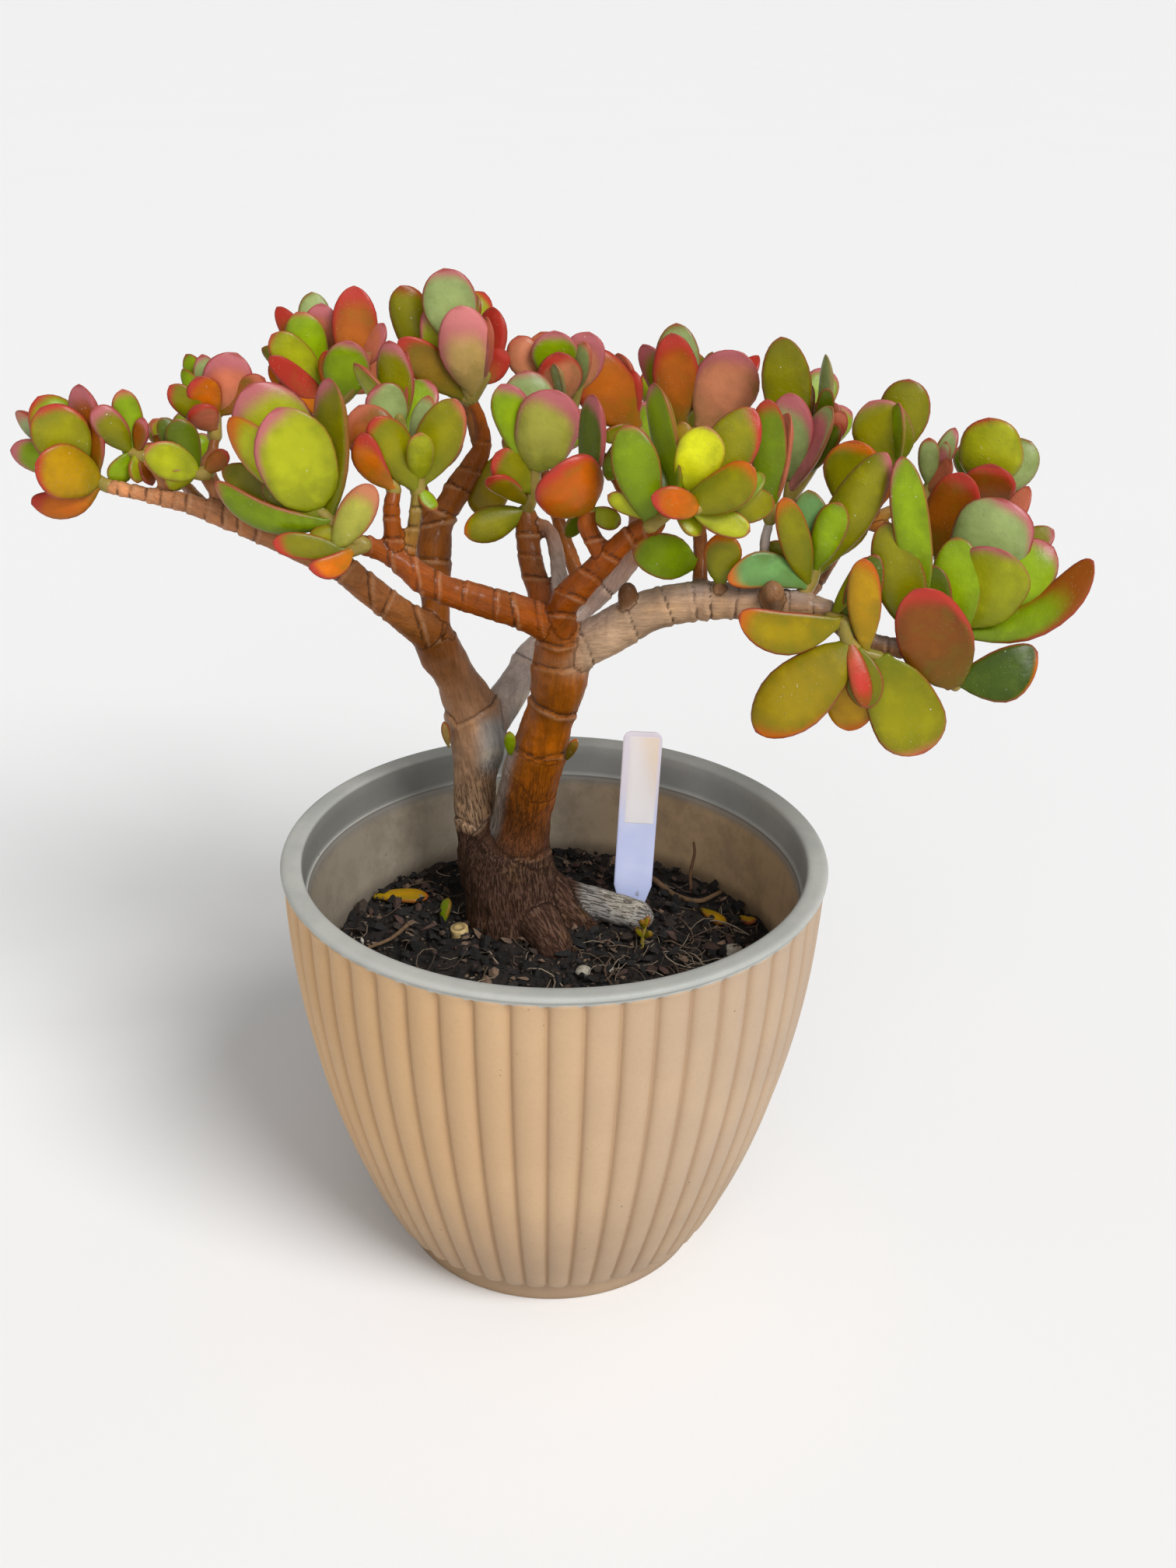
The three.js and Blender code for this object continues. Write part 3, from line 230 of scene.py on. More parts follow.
class Field:
    # a socket whose arithmetic adds Math nodes
    def __init__(self, tree, socket=None):
        self.tree = tree
        self.socket = socket

    def make(self, kind, settings, values, out=0):
        # a node with its settings, its inputs joined or set, and the named output
        node = self.tree.nodes.new(kind)
        for name, value in settings.items():
            setattr(node, name, value)
        for name, value in values.items():
            if isinstance(value, Field):
                self.tree.links.new(value.socket, node.inputs[name])
            else:
                node.inputs[name].default_value = value
        return Field(self.tree, node.outputs[out] if len(node.outputs) else None)

    def maths(self, operation, *values):
        return self.make("ShaderNodeMath", {"operation": operation}, dict(enumerate(values)))

    def __add__(self, other):
        return self.maths("ADD", self, other)

    def __radd__(self, other):
        return self.maths("ADD", other, self)

    def __sub__(self, other):
        return self.maths("SUBTRACT", self, other)

    def __rsub__(self, other):
        return self.maths("SUBTRACT", other, self)

    def __mul__(self, other):
        return self.maths("MULTIPLY", self, other)

    def __rmul__(self, other):
        return self.maths("MULTIPLY", other, self)

    def attribute(self, name, out="Vector"):
        # what the mesh holds for each point
        return self.make("ShaderNodeAttribute", {"attribute_name": name}, {}, out)

    def noise(self, at, scale, detail=3.0, rough=0.5):
        # cloudy 0 to 1, with scale clouds to a metre
        values = {"Vector": at, "Scale": scale, "Detail": detail, "Roughness": rough}
        return self.make("ShaderNodeTexNoise", {}, values)

    def specks(self, at, scale, size):
        # 1 inside small round spots of a Voronoi pattern
        gap = self.make("ShaderNodeTexVoronoi", {}, {"Vector": at, "Scale": scale}, 0)
        return gap.rise(size, size * 0.5)

    def rise(self, low, high, small=0.0, large=1.0):
        # small up to low, large from high, eased between them
        return self.make("ShaderNodeMapRange", {"interpolation_type": "SMOOTHSTEP"},
                         {0: self, 1: low, 2: high, 3: small, 4: large})

    def blend(self, share, first, second):
        # first (1 - share) + second share, for colours
        return self.make("ShaderNodeMix", {"data_type": "RGBA"}, {0: share, 6: first, 7: second}, 2)

    def vector(self, operation, *values):
        return self.make("ShaderNodeVectorMath", {"operation": operation}, dict(enumerate(values)))

    def part(self, index):
        # x, y or z of a vector
        return self.make("ShaderNodeSeparateXYZ", {}, {0: self}, index)


def finish(name, paint):
    # a material: paint gives the sockets of its surface shader, and the height of its bump
    material = bpy.data.materials.new(name)
    material.use_nodes = True
    tree = material.node_tree
    tree.nodes.clear()
    start = Field(tree)
    at = start.make("ShaderNodeTexCoord", {}, {}, "Object")
    sockets, height, depth = paint(start, at)
    if height is not None:
        bump = {"Strength": 1.0, "Distance": depth, "Height": height}
        sockets["Normal"] = start.make("ShaderNodeBump", {}, bump)
    surface = start.make("ShaderNodeBsdfPrincipled", {}, sockets)
    start.make("ShaderNodeOutputMaterial", {}, {"Surface": surface})
    return material


# Leaves

# Leaf colours by letter: yellow-green, yellow, green, mid green, dark olive, painted shade green (a
# darker green for a leaf lying deep in shade), olive, olive gold, orange, brown, grey-green, blue-green,
# red, mauve, peach, neutral brown, straw, dusky rose, coral, sand, hay, light brown, dark brown, pink.
leafColours = {
    "y": (150, 152, 16), "Y": (208, 208, 22), "g": (124, 148, 2), "G": (106, 126, 2), "d": (78, 92, 1),
    "D": (48, 66, 0), "o": (122, 116, 0), "l": (134, 112, 0), "O": (190, 96, 6), "b": (140, 70, 6),
    "k": (140, 154, 94), "t": (98, 138, 76), "r": (178, 52, 38), "m": (180, 98, 102), "p": (184, 100, 72),
    "n": (120, 90, 20), "w": (164, 122, 4), "q": (190, 118, 84), "c": (176, 82, 4), "s": (176, 142, 84),
    "h": (162, 158, 62), "B": (164, 82, 14), "e": (114, 58, 8), "x": (206, 122, 120),
}
leafLook = {
    "thickness": 5.3,
    "petiole": 0.3,
    "widest": 0.6,
    "broadWidest": 0.54,
    "steps": (0.0, 0.03, 0.08, 0.15, 0.25, 0.37, 0.49, 0.61, 0.72, 0.81, 0.88, 0.935, 0.97, 0.992),
    "around": 18,
    "cup": 0.05,
    "arch": 0.05,
    "blushStart": 1.02,
    "blushStep": 0.105,
    "blushReach": 0.52,
    "stemTint": (150, 132, 62),
    "stemBlush": (150, 90, 60),
    "stemRadii": (2.7, 2.2),
}


def leafSurface(root, tip, width, roll, bow, seed, body, blush, spread, broad):
    # half width f(t) = (1 - v^2)^k, v from 0 at the widest place to 1 at an end;
    # point = middle(t) + f W/2 cos q side + thickness sin q face, with the edges lifted by cup u^2
    # and the middle by arch 4 t (1 - t)
    count = len(root)
    length = np.linalg.norm(tip - root, axis=1)
    along = unit(tip - root)
    toEye = unit(eye - root)
    side0 = unit(np.cross(along, toEye))
    face0 = np.cross(side0, along)
    c, s = np.cos(roll)[:, None], np.sin(roll)[:, None]
    side = side0 * c + face0 * s
    face = face0 * c - side0 * s
    t = np.array(leafLook["steps"])
    q = 2 * np.pi * np.arange(leafLook["around"]) / leafLook["around"]
    widest = np.where(broad, leafLook["broadWidest"], leafLook["widest"]) + 0.1 * (draw(seed * 3 + 1) - 0.5)
    toTip = np.clip((t[None] - widest[:, None]) / (1 - widest[:, None]), 0, 1)
    toRoot = np.clip((widest[:, None] - t[None]) / widest[:, None], 0, 1)
    rootPower = np.where(broad, 0.5, 0.78 + 0.25 * (draw(seed * 5 + 2) - 0.5))[:, None]
    form = (1 - toTip**2.15) ** 0.52 * np.maximum(1 - toRoot**2, 0) ** rootPower
    form = np.maximum(form, leafLook["petiole"] * (1 - ease(0.25, 0.5, t))[None])
    form[:, 0] = leafLook["petiole"] * 0.9
    ripple = 0.03 * np.sin(t[None] * 9 + 6.28 * draw(seed)[:, None])
    half = width[:, None] / 2 * form * (1 + ripple)
    thick = np.minimum(leafLook["thickness"], 2.2 + width * 0.14)[:, None] / 2
    thick = thick * (0.55 + 0.45 * form) * (1 - 0.7 * ease(0.82, 1.0, t))[None]
    thick[:, 0] *= 0.9
    cup = leafLook["cup"] * (0.3 + 1.4 * draw(seed * 7 + 3)) * np.sign(draw(seed * 11) - 0.28)
    arch = leafLook["arch"] * (2 * draw(seed * 13 + 5) - 1.0)
    wave = 4 * t * (1 - t)
    middle = root[:, None] + along[:, None] * (length[:, None] * t[None])[..., None]
    middle = middle - side0[:, None] * (bow[:, None] * wave[None])[..., None]
    middle = middle + face[:, None] * ((arch * length)[:, None] * wave[None])[..., None]
    u = np.cos(q)
    v = np.where(np.sin(q) > 0, 0.74, 1.26) * np.sign(np.sin(q)) * np.abs(np.sin(q)) ** 0.8
    raised = (cup[:, None] * half * 2)[..., None] * (u**2)[None, None]
    points = middle[:, :, None] + side[:, None, None] * (half[..., None] * u)[..., None]
    points = points + face[:, None, None] * (thick[..., None] * v + raised)[..., None]
    rows, columns = len(t), len(q)
    tipPoint = tip + along * 0.25
    rootPoint = root - along * 0.3
    endPoints = np.stack([rootPoint, tipPoint], axis=1)
    allPoints = np.concatenate([points.reshape(count, -1, 3), endPoints], axis=1)
    size = rows * columns + 2
    quads = ringGrid(rows, columns)
    i = np.arange(columns)
    j = (i + 1) % columns
    base = (rows - 1) * columns
    tris = np.concatenate([
        np.stack([np.full(columns, size - 2), j, i], axis=-1),
        np.stack([np.full(columns, size - 1), base + i, base + j], axis=-1),
    ])
    shift = (np.arange(count) * size)[:, None, None]
    # how near a place is to the margin: 1 - (1 - 0.75 u^4)(1 - t^3), leaning to one side
    lean = (draw(seed * 17 + 7) - 0.5)[:, None, None] * 0.5
    near = 1 - (1 - 0.75 * u**4)[None, None] * (1 - t**3)[None, :, None]
    near = near + lean * u[None, None] * ease(0.2, 0.7, t)[None, :, None]
    near = near - 0.35 * (1 - ease(0.05, 0.45, t))[None, :, None]
    start = (leafLook["blushStart"] - spread * leafLook["blushStep"])[:, None, None]
    red = ease(0, 1, (near - start + 0.2) / leafLook["blushReach"]) * (spread > 0)[:, None, None]
    gap = np.minimum(half[..., None] * (1 - np.abs(u)), ((1 - t)[None] * length[:, None] * 0.7)[..., None])
    tall = np.repeat(np.repeat(t[None, :, None], count, 0), columns, 2)

    def flat(values, atRoot, atTip):
        # the values of the rings, then those of the two end points
        ends = np.stack([np.full(count, atRoot), np.full(count, atTip)], axis=1)
        return np.concatenate([values.reshape(count, -1), ends], axis=1).ravel()

    info = {
        "red": flat(red, 0.0, 1.0) * np.repeat((spread > 0) * 1.0, size),
        "gap": flat(gap, 2.0, 0.0),
        "tall": flat(tall, 0.0, 1.0),
        "seed": np.repeat(draw(seed * 19 + 11), size),
        "body": np.repeat(body, size, axis=0),
        "blush": np.repeat(blush, size, axis=0),
    }
    allQuads = (quads[None] + shift).reshape(-1, 4)
    allTris = (tris[None] + shift).reshape(-1, 3)
    return allPoints.reshape(-1, 3), allQuads, allTris, info


def onStem(stems, a, b):
    # nearest point of the stem lines to P = (a, b): A + t (B - A), t = (P - A) . (B - A) / |B - A|^2
    best, found = np.inf, (a, b, 0)
    for line in stems:
        for (a1, b1, y1), (a2, b2, y2) in zip(line, line[1:]):
            span = (a2 - a1) ** 2 + (b2 - b1) ** 2
            t = min(max(((a - a1) * (a2 - a1) + (b - b1) * (b2 - b1)) / span, 0), 1)
            here = (a1 + (a2 - a1) * t, b1 + (b2 - b1) * t, y1 + (y2 - y1) * t)
            far = (here[0] - a) ** 2 + (here[1] - b) ** 2
            if far < best:
                best, found = far, here
    return found


# Each shoot: stems as lines of (a, b, depth), then leaves as root (a, b), tip (a, b), width,
# how much further back the tip is, roll in degrees, colour code and bow.
shoots = {
    "shoot_left_end": ([[(-192.6, 119.7, 9.6), (-197, 122, 10), (-205, 131, 11)]], [
        (-197, 121, -222, 128.5, 22, -15, 0, "wr3e"), (-196, 120, -223.5, 112.5, 13, -5, 15, "Or4", 4),
        (-203, 124, -232, 134, 15, 8, 20, "gm4"), (-203, 127, -220, 151, 23, -3, 0, "or3"),
        (-204, 129, -221, 155.5, 20, 8, 0, "gr3"), (-205, 130, -230, 149, 12, 14, 50, "kp4"),
        (-198, 123, -204.5, 160.5, 17, 4, 45, "bm5")]),
    "shoot_left_end_upper": ([[(-178.5, 131.4, 13.2), (-185, 134, 15)]], [
        (-184, 134, -198, 151.5, 13, -6, 10, "om5"), (-182, 134, -187, 158.5, 12.5, 1, 0, "gp3"),
        (-181, 133, -178.5, 147, 8, -2, 40, "bm4"), (-184, 133, -191, 121, 10, -4, 20, "gn0"),
        (-182, 132, -181, 121, 8, -6, 30, "yn0"), (-181, 132, -175, 120, 8, -3, 50, "bp3")]),
    "shoot_left_knuckle": ([[(-153, 125, 8.4), (-158, 125, 8), (-163, 130, 8)]], [
        (-157, 124, -178, 134, 15, -6, 0, "yp2e"), (-157, 124, -170, 120, 11, -4, 40, "yn0"),
        (-160, 128, -171.5, 147, 10, 4, 0, "dn0"), (-157, 126, -166, 146.5, 13, 0, 0, "dn1"),
        (-162, 129, -175, 139.5, 8, 6, 40, "bn2"), (-154, 126, -145, 133.5, 8, -4, 0, "br3")]),
    "shoot_left_twig": ([[(-150, 139.6, 23.1), (-150, 148, 25), (-149.5, 156, 27)]], [
        (-150, 142, -168, 160, 11, -6, 10, "or3"), (-150, 142, -158, 152, 13, -8, 20, "pr5"),
        (-150, 147, -157, 163.5, 14, -6, 0, "Or4"), (-148, 148, -141, 173, 20, 2, 0, "pm6"),
        (-150, 150, -155, 172.5, 11, 4, 20, "km3"), (-150, 152, -161.5, 172.5, 10, 8, 30, "gn1"),
        (-150, 149, -163, 166.5, 8, 4, 30, "gn1"), (-149, 148, -130, 163, 12, 0, 0, "bp5")]),
    "shoot_left_rear": ([[(-104, 151.5, 70.1), (-107, 160, 71), (-108, 174, 72)],
                         [(-104, 151.5, 70.1), (-96, 157, 66), (-91, 166, 64)]], [
        (-93, 162, -94, 200, 18, 8, 0, "Br5"), (-91, 164, -82, 185, 12, 4, 50, "pm4"),
        (-94, 156, -84, 172, 17, -2, 0, "pn3"), (-97, 154, -96, 178, 19, -8, 0, "gm3e"),
        (-103, 154, -105, 174, 9, -6, 30, "Or4"), (-107, 164, -117, 189.5, 16, -2, 0, "gp2"),
        (-107, 160, -127, 180.5, 15, -7, 0, "yr2"), (-106, 168, -107, 193, 15, 4, 0, "pm6"),
        (-108, 172, -111, 197.5, 13, 9, 0, "kn1"), (-108, 168, -125, 191.5, 10, 6, 20, "br6"),
        (-106, 158, -131, 175, 11, 4, 40, "on2"), (-105, 150, -128, 171.5, 10, -10, 0, "rr8"),
        (-106, 157, -129, 171, 8, 9, 50, "kn0"), (-104, 150, -125, 160, 14, -6, 0, "Or3")]),
    "shoot_left_front": ([[(-90, 96, -25.4), (-98, 102, -23), (-109.5, 110.5, -20)],
                          [(-90, 96, -25.4), (-98, 93, -25), (-104, 92, -25)]], [
        (-110, 110, -125, 151, 32, -7, 0, "ym3e"), (-108, 110, -136, 160.5, 33, 6, 0, "ym4"),
        (-109, 111, -144, 147, 19, -2, 35, "yO4"), (-103, 108, -104, 163, 20, 6, 45, "om3"),
        (-102, 106, -150, 121, 14, -4, 35, "Gp2", 7), (-104, 108, -131, 120, 14, -2, 0, "on1"),
        (-98, 102, -112, 98, 9, -4, 0, "on2"), (-103, 92.5, -86.5, 120, 14.5, -3, 0, "hq5"),
        (-106, 109, -147, 126.5, 14, 9, 0, "on2"), (-97, 93, -126.5, 97, 11, -6, 0, "or4"),
        (-94, 94, -112, 86.5, 10, -10, 10, "Or4", 3)]),
    "shoot_left_inner": ([[(-78, 117.6, -9.8), (-80, 126, -8)]], [
        (-79, 118, -91, 141, 13, -6, 20, "Or5", 3), (-80, 122, -92, 152, 21, 6, 0, "bp4"),
        (-79, 122, -78, 143, 14, 16, 10, "gn2")]),
    "shoot_left_inner_tall": ([[(-68.5, 117.1, -7.8), (-67.5, 127, -6)]], [
        (-70, 118, -86, 147, 18, -7, 0, "or3"), (-68, 123, -67, 141, 11.5, -10, 0, "yp1e"),
        (-66, 119, -53, 154.5, 19, 2, 0, "op2"), (-67, 119, -61, 110, 7, -4, 30, "gn1"),
        (-68, 124, -64, 156, 13, 8, 40, "kp2"), (-66, 120, -50, 147, 12, 9, 20, "on1")]),
    "shoot_left_middle": ([[(-74.2, 137.1, 40.4), (-76, 147, 37)]], [
        (-76, 144, -94, 169, 11, 4, 55, "yp2"), (-76, 143, -85, 160, 17, -4, 0, "km3"),
        (-75, 143, -80, 178, 16, 3, 25, "om4"), (-74, 143, -73, 174, 9, 6, 65, "kp5"),
        (-75, 140, -64, 162, 16, 12, 10, "gm3")]),
    "shoot_top": ([[(-47.2, 154.1, 62), (-50, 165, 60), (-53, 178, 58)],
                   [(-47.2, 154.1, 62), (-41, 164, 60)],
                   [(-47.2, 154.1, 62), (-58, 160, 63), (-64, 168, 65)]], [
        (-46, 156, -51.5, 192, 22, -10, 0, "sx7"), (-49, 156, -76, 178.5, 15, -9, 0, "nr4"),
        (-63, 166, -75.5, 200, 17.5, 4, 0, "ob3"), (-58, 162, -61, 194.5, 15, 0, 0, "ym6"),
        (-52, 175, -58, 207, 22, 3, 0, "km3"), (-52, 174, -45, 196.5, 9, 5, 30, "on3"),
        (-42, 161, -38, 191.5, 15, 5, 35, "rr8"), (-42, 161, -40.5, 187.5, 10, -5, 55, "mp5"),
        (-42, 160, -33, 174, 11, 0, 0, "rr8")]),
    "shoot_centre": ([[(-24.9, 109.1, 37.8), (-22, 118, 33), (-21, 132, 31)]], [
        (-17, 126, -12, 158, 26.5, -8, 0, "hm5e"), (-24, 128, -35, 160.5, 17, -3, 0, "gm3"),
        (-21, 129, -25, 166, 23, 8, 0, "km2"), (-20, 111, -40, 123, 11, -14, 40, "lr4"),
        (-19, 117, -37, 133, 17, -5, 0, "or4"), (-25, 110, -49.5, 100.5, 14, -8, 0, "oO2")]),
    "shoot_centre_front": ([[(0, 109.6, -8), (-1, 118, -7)]], [
        (2, 109.5, -13, 127.5, 30, -12, 0, "cr4e"), (-1, 116, 2, 156.5, 16, 5, 50, "dm4"),
        (1, 110, 13, 104.5, 9, 3, 0, "yn0"), (0, 112, -8, 99, 8, 9, 30, "dn0")]),
    "leaf_hanging": ([], [
        (-36, 131, -43, 107.5, 17, -2, 0, "ln1")]),
    "shoot_centre_rear": ([[(-7.4, 146.5, 75.6), (-12, 156, 73), (-15, 168, 71)],
                           [(-7.4, 146.5, 75.6), (-19, 155, 72), (-24, 163, 71)],
                           [(-7.4, 146.5, 75.6), (-4, 160, 73)]], [
        (-23, 161, -28, 180, 14, 2, 0, "qp4"), (-15, 164, -19, 181.5, 15, 6, 0, "bp4"),
        (-14, 161, -13.5, 182, 19, -4, 0, "gm4"), (-4, 157, 0.5, 181.5, 17, 0, 0, "qm6"),
        (-4, 158, -1, 177.5, 9, -6, 30, "kp3"), (-11, 153, -12, 173.5, 18, -9, 0, "qr5"),
        (-10, 152, -13, 168.5, 8, -14, 60, "kp1")]),
    "shoot_centre_right": ([[(23, 136.6, 81.8), (17, 147, 80)]], [
        (17, 141, -4, 173, 24.5, -5, 0, "Br5"), (17, 146, 12, 173, 12, 4, 40, "rp5"),
        (18, 145, 17.5, 166.5, 10, 0, 40, "rr8"), (18, 143, 6, 139, 8, -6, 30, "on1"),
        (18, 142, 8, 122, 11, 2, 20, "dn0")]),
    "shoot_right_top": ([[(40, 137.1, 79.2), (36, 149, 82)], [(40, 137.1, 79.2), (49, 146, 78)]], [
        (36, 144, 33.5, 181, 18.5, -5, 0, "Br5"), (38, 148, 35.5, 185, 18, 5, 0, "kn2"),
        (37, 143, 22, 176.5, 14, 4, 35, "gm5"), (47, 141, 62.5, 173, 26, -7, 0, "qm4"),
        (42, 144, 50, 173.5, 9, 7, 30, "kn3"), (41, 146, 45, 168.5, 7, 2, 20, "mn5"),
        (48, 145, 68.5, 172, 10, 9, 30, "qr5")]),
    "shoot_right_front": ([[(25, 103.7, -23), (34, 111, -19), (41, 118, -15)],
                           [(34, 111, -19), (44, 110.5, -24)]], [
        (41, 118, 48, 143.5, 20, -9, 0, "Ym1e"), (38, 116, 38, 145.5, 12, 4, 0, "wn1"),
        (40, 117, 67, 150.5, 21, 4, 0, "or3", 2), (38, 110, 67, 126.5, 18, -8, 0, "oO3", 2),
        (42, 110, 71, 124, 12, 2, 20, "gn1", 3), (44, 110.5, 25.5, 115.5, 13, -6, 0, "cr4e"),
        (25, 105, 15, 144, 19, 3, 0, "Gp1"), (28, 107, 8, 116, 9, 0, 20, "yn0"),
        (31, 109, 22, 131, 14, 9, 0, "dn0"), (42, 112, 75, 113, 15, 7, 0, "on1"),
        (41, 110, 65, 101.5, 12, -2, 10, "yY1"), (35, 113, 26.5, 161, 18, 7, 55, "gm2"),
        (35, 112, 45, 100, 9, -4, 30, "yn0")]),
    "shoot_right_dead_twig": ([[(73.1, 106.6, 0), (74, 113, 1)]], [
        (73, 109, 72, 154.5, 15, -2, 0, "Gr3"), (74, 110, 80.5, 149, 14, 5, 50, "pp4")]),
    "leaf_right_inner": ([], [
        (44, 88, 18, 95, 18.5, -14, 0, "gO2")]),
    "leaf_right_branch": ([], [
        (53, 80.5, 55, 101, 15, 0, 0, "oO4")]),
    "shoot_right_branch": ([[(86.3, 76.6, -3), (90, 82, -2), (92, 91, 0)]], [
        (88, 80, 78.5, 115, 13, -5, 0, "oO3"), (91, 86, 88.5, 118, 16, 3, 0, "tn1"),
        (91, 86, 101, 113, 14, -5, 0, "gn0"), (91, 84, 120, 133, 19, 4, 0, "om2"),
        (87, 80, 56, 83, 15, -8, 0, "tO3", -5), (88, 80, 71, 96, 15, 5, 10, "on1"),
        (90, 83, 97, 106, 16, 7, 0, "dn0"), (92, 89, 111, 112, 17, 9, 0, "on1")]),
    "leaf_right_rear": ([], [
        (105, 109, 107, 138, 23, -3, 0, "oO4")]),
    "shoot_right_rear": ([[(80.9, 114.7, 51.3), (82, 124, 55), (84, 136, 56)],
                          [(80.9, 114.7, 51.3), (90, 128, 54), (95, 139, 55)]], [
        (81, 133, 77.5, 179.5, 19.5, 5, 0, "on1"), (91, 133, 95.5, 172.5, 10, 3, 60, "kn0"),
        (94, 137, 96, 159, 8, -3, 0, "dn0"), (84, 134, 89, 161, 8, 7, 20, "dn0"),
        (82, 122, 81, 157, 18, -10, 0, "km5"), (82, 118, 98, 151.5, 14, -7, 45, "mk4"),
        (94, 137, 100, 152.5, 8, 0, 20, "bm3"), (93, 134, 103, 149.5, 10, -5, 0, "rp7"),
        (88, 125, 101, 144, 9, -9, 20, "dn1")]),
    "shoot_right_upper": ([[(122.3, 120.6, 40.1), (124, 128, 40), (125, 139, 41)]], [
        (125, 131, 129, 162.5, 20.5, 4, 0, "on2"), (122, 129, 113, 153.5, 24, -6, 0, "om2e"),
        (124, 128, 125, 153, 9, -10, 50, "gm1")]),
    "shoot_right_high": ([[(134.1, 114.3, 52.3), (138, 121, 54)]], [
        (137, 119, 137, 139, 9, -2, 0, "kr2"), (137, 119, 144, 137.5, 8, 3, 20, "mk4"),
        (137, 120, 147.5, 143, 8, 6, 0, "km3"), (137, 118, 146, 130, 9, -6, 40, "pp6")]),
    "shoot_far_right_upper": ([[(156.7, 103.7, 41), (161, 112, 40), (163, 122, 40)],
                               [(156.7, 103.7, 41), (153, 96, 35), (141, 91, 32)]], [
        (161, 120, 161, 147, 26, 0, 10, "yr2e"), (163, 116, 178, 137.5, 19, 5, 0, "kn1"),
        (160, 109, 162, 128.5, 22, -9, 0, "br4"), (141, 92, 150.5, 125, 22, -6, 0, "br4")]),
    "shoot_far_right": ([[(125, 54, -12.2), (140, 54, -8), (150, 60, 0), (155, 72, 6), (158, 86, 10)],
                         [(139, 54, -8), (144, 45, -9), (147.5, 39.5, -11)],
                         [(129, 54, -11), (134, 66, -7), (135, 76, -4)]], [
        (147.5, 39, 131, 78, 29.5, -10, 0, "er4e"), (146, 42, 180.5, 53, 21, 2, 0, "DO1", 5),
        (151, 59, 203, 89.5, 17, 0, 15, "Gb7", 8), (152, 64, 168.5, 93, 31.5, -10, 0, "ym2e"),
        (156, 68, 187, 95, 25, 4, 0, "gm3"), (149, 60, 148, 99, 20, 2, 0, "gn0"),
        (137, 54, 138, 88, 18, 7, 0, "dn0"), (157, 83, 167, 114.5, 33, 2, 0, "km3e"),
        (158, 84, 187, 102, 14, 8, 10, "om2"), (158, 85, 177, 119.5, 11, 12, 20, "pp6"),
        (134.5, 71.5, 126, 131.5, 15.5, 3, 0, "gm1"), (131, 60, 119, 105, 20, 6, 0, "on1")]),
    "shoot_right_end": ([[(103, 65, -16), (104, 58, -18), (110, 53, -18), (117, 51, -18)],
                         [(103, 65, -16), (97, 67, -13)]], [
        (112, 54, 110.5, 90.5, 14, -3, 0, "wO3"), (98, 67, 112.5, 91, 10, 5, 45, "yr3"),
        (107, 60, 116, 92, 14, 7, 0, "dn0"), (102, 65.5, 60.5, 67, 18, -6, 10, "lO3", 6),
        (104, 53, 67.5, 21, 27, -9, 0, "lO2"), (107, 53, 104.5, 21.5, 20, 2, 0, "wO3"),
        (106, 58, 111.5, 31, 9, -10, 15, "rb5"), (110, 57, 113, 30.5, 15, -6, 0, "on0"),
        (117, 51, 135, 12.5, 30, -5, 0, "op2")]),
}

# Shoots at the back: foot (a, b, depth) and size.
rearShoots = {
    "shoot_rear_far_left": (-165.4, 124.6, 60.4, 17), "shoot_rear_left": (-103.3, 152.2, 105.6, 26),
    "shoot_rear_left_inner": (-69, 118.3, 93.6, 24), "shoot_rear_top": (-51.1, 158.3, 107.6, 26),
    "shoot_rear_centre": (-18.2, 126.5, 124.2, 26), "shoot_rear_right_top": (35.3, 132.5, 134.4, 27),
    "shoot_rear_right": (85, 128.2, 102.6, 26), "shoot_rear_far_right": (159.2, 107.2, 88.6, 22),
}

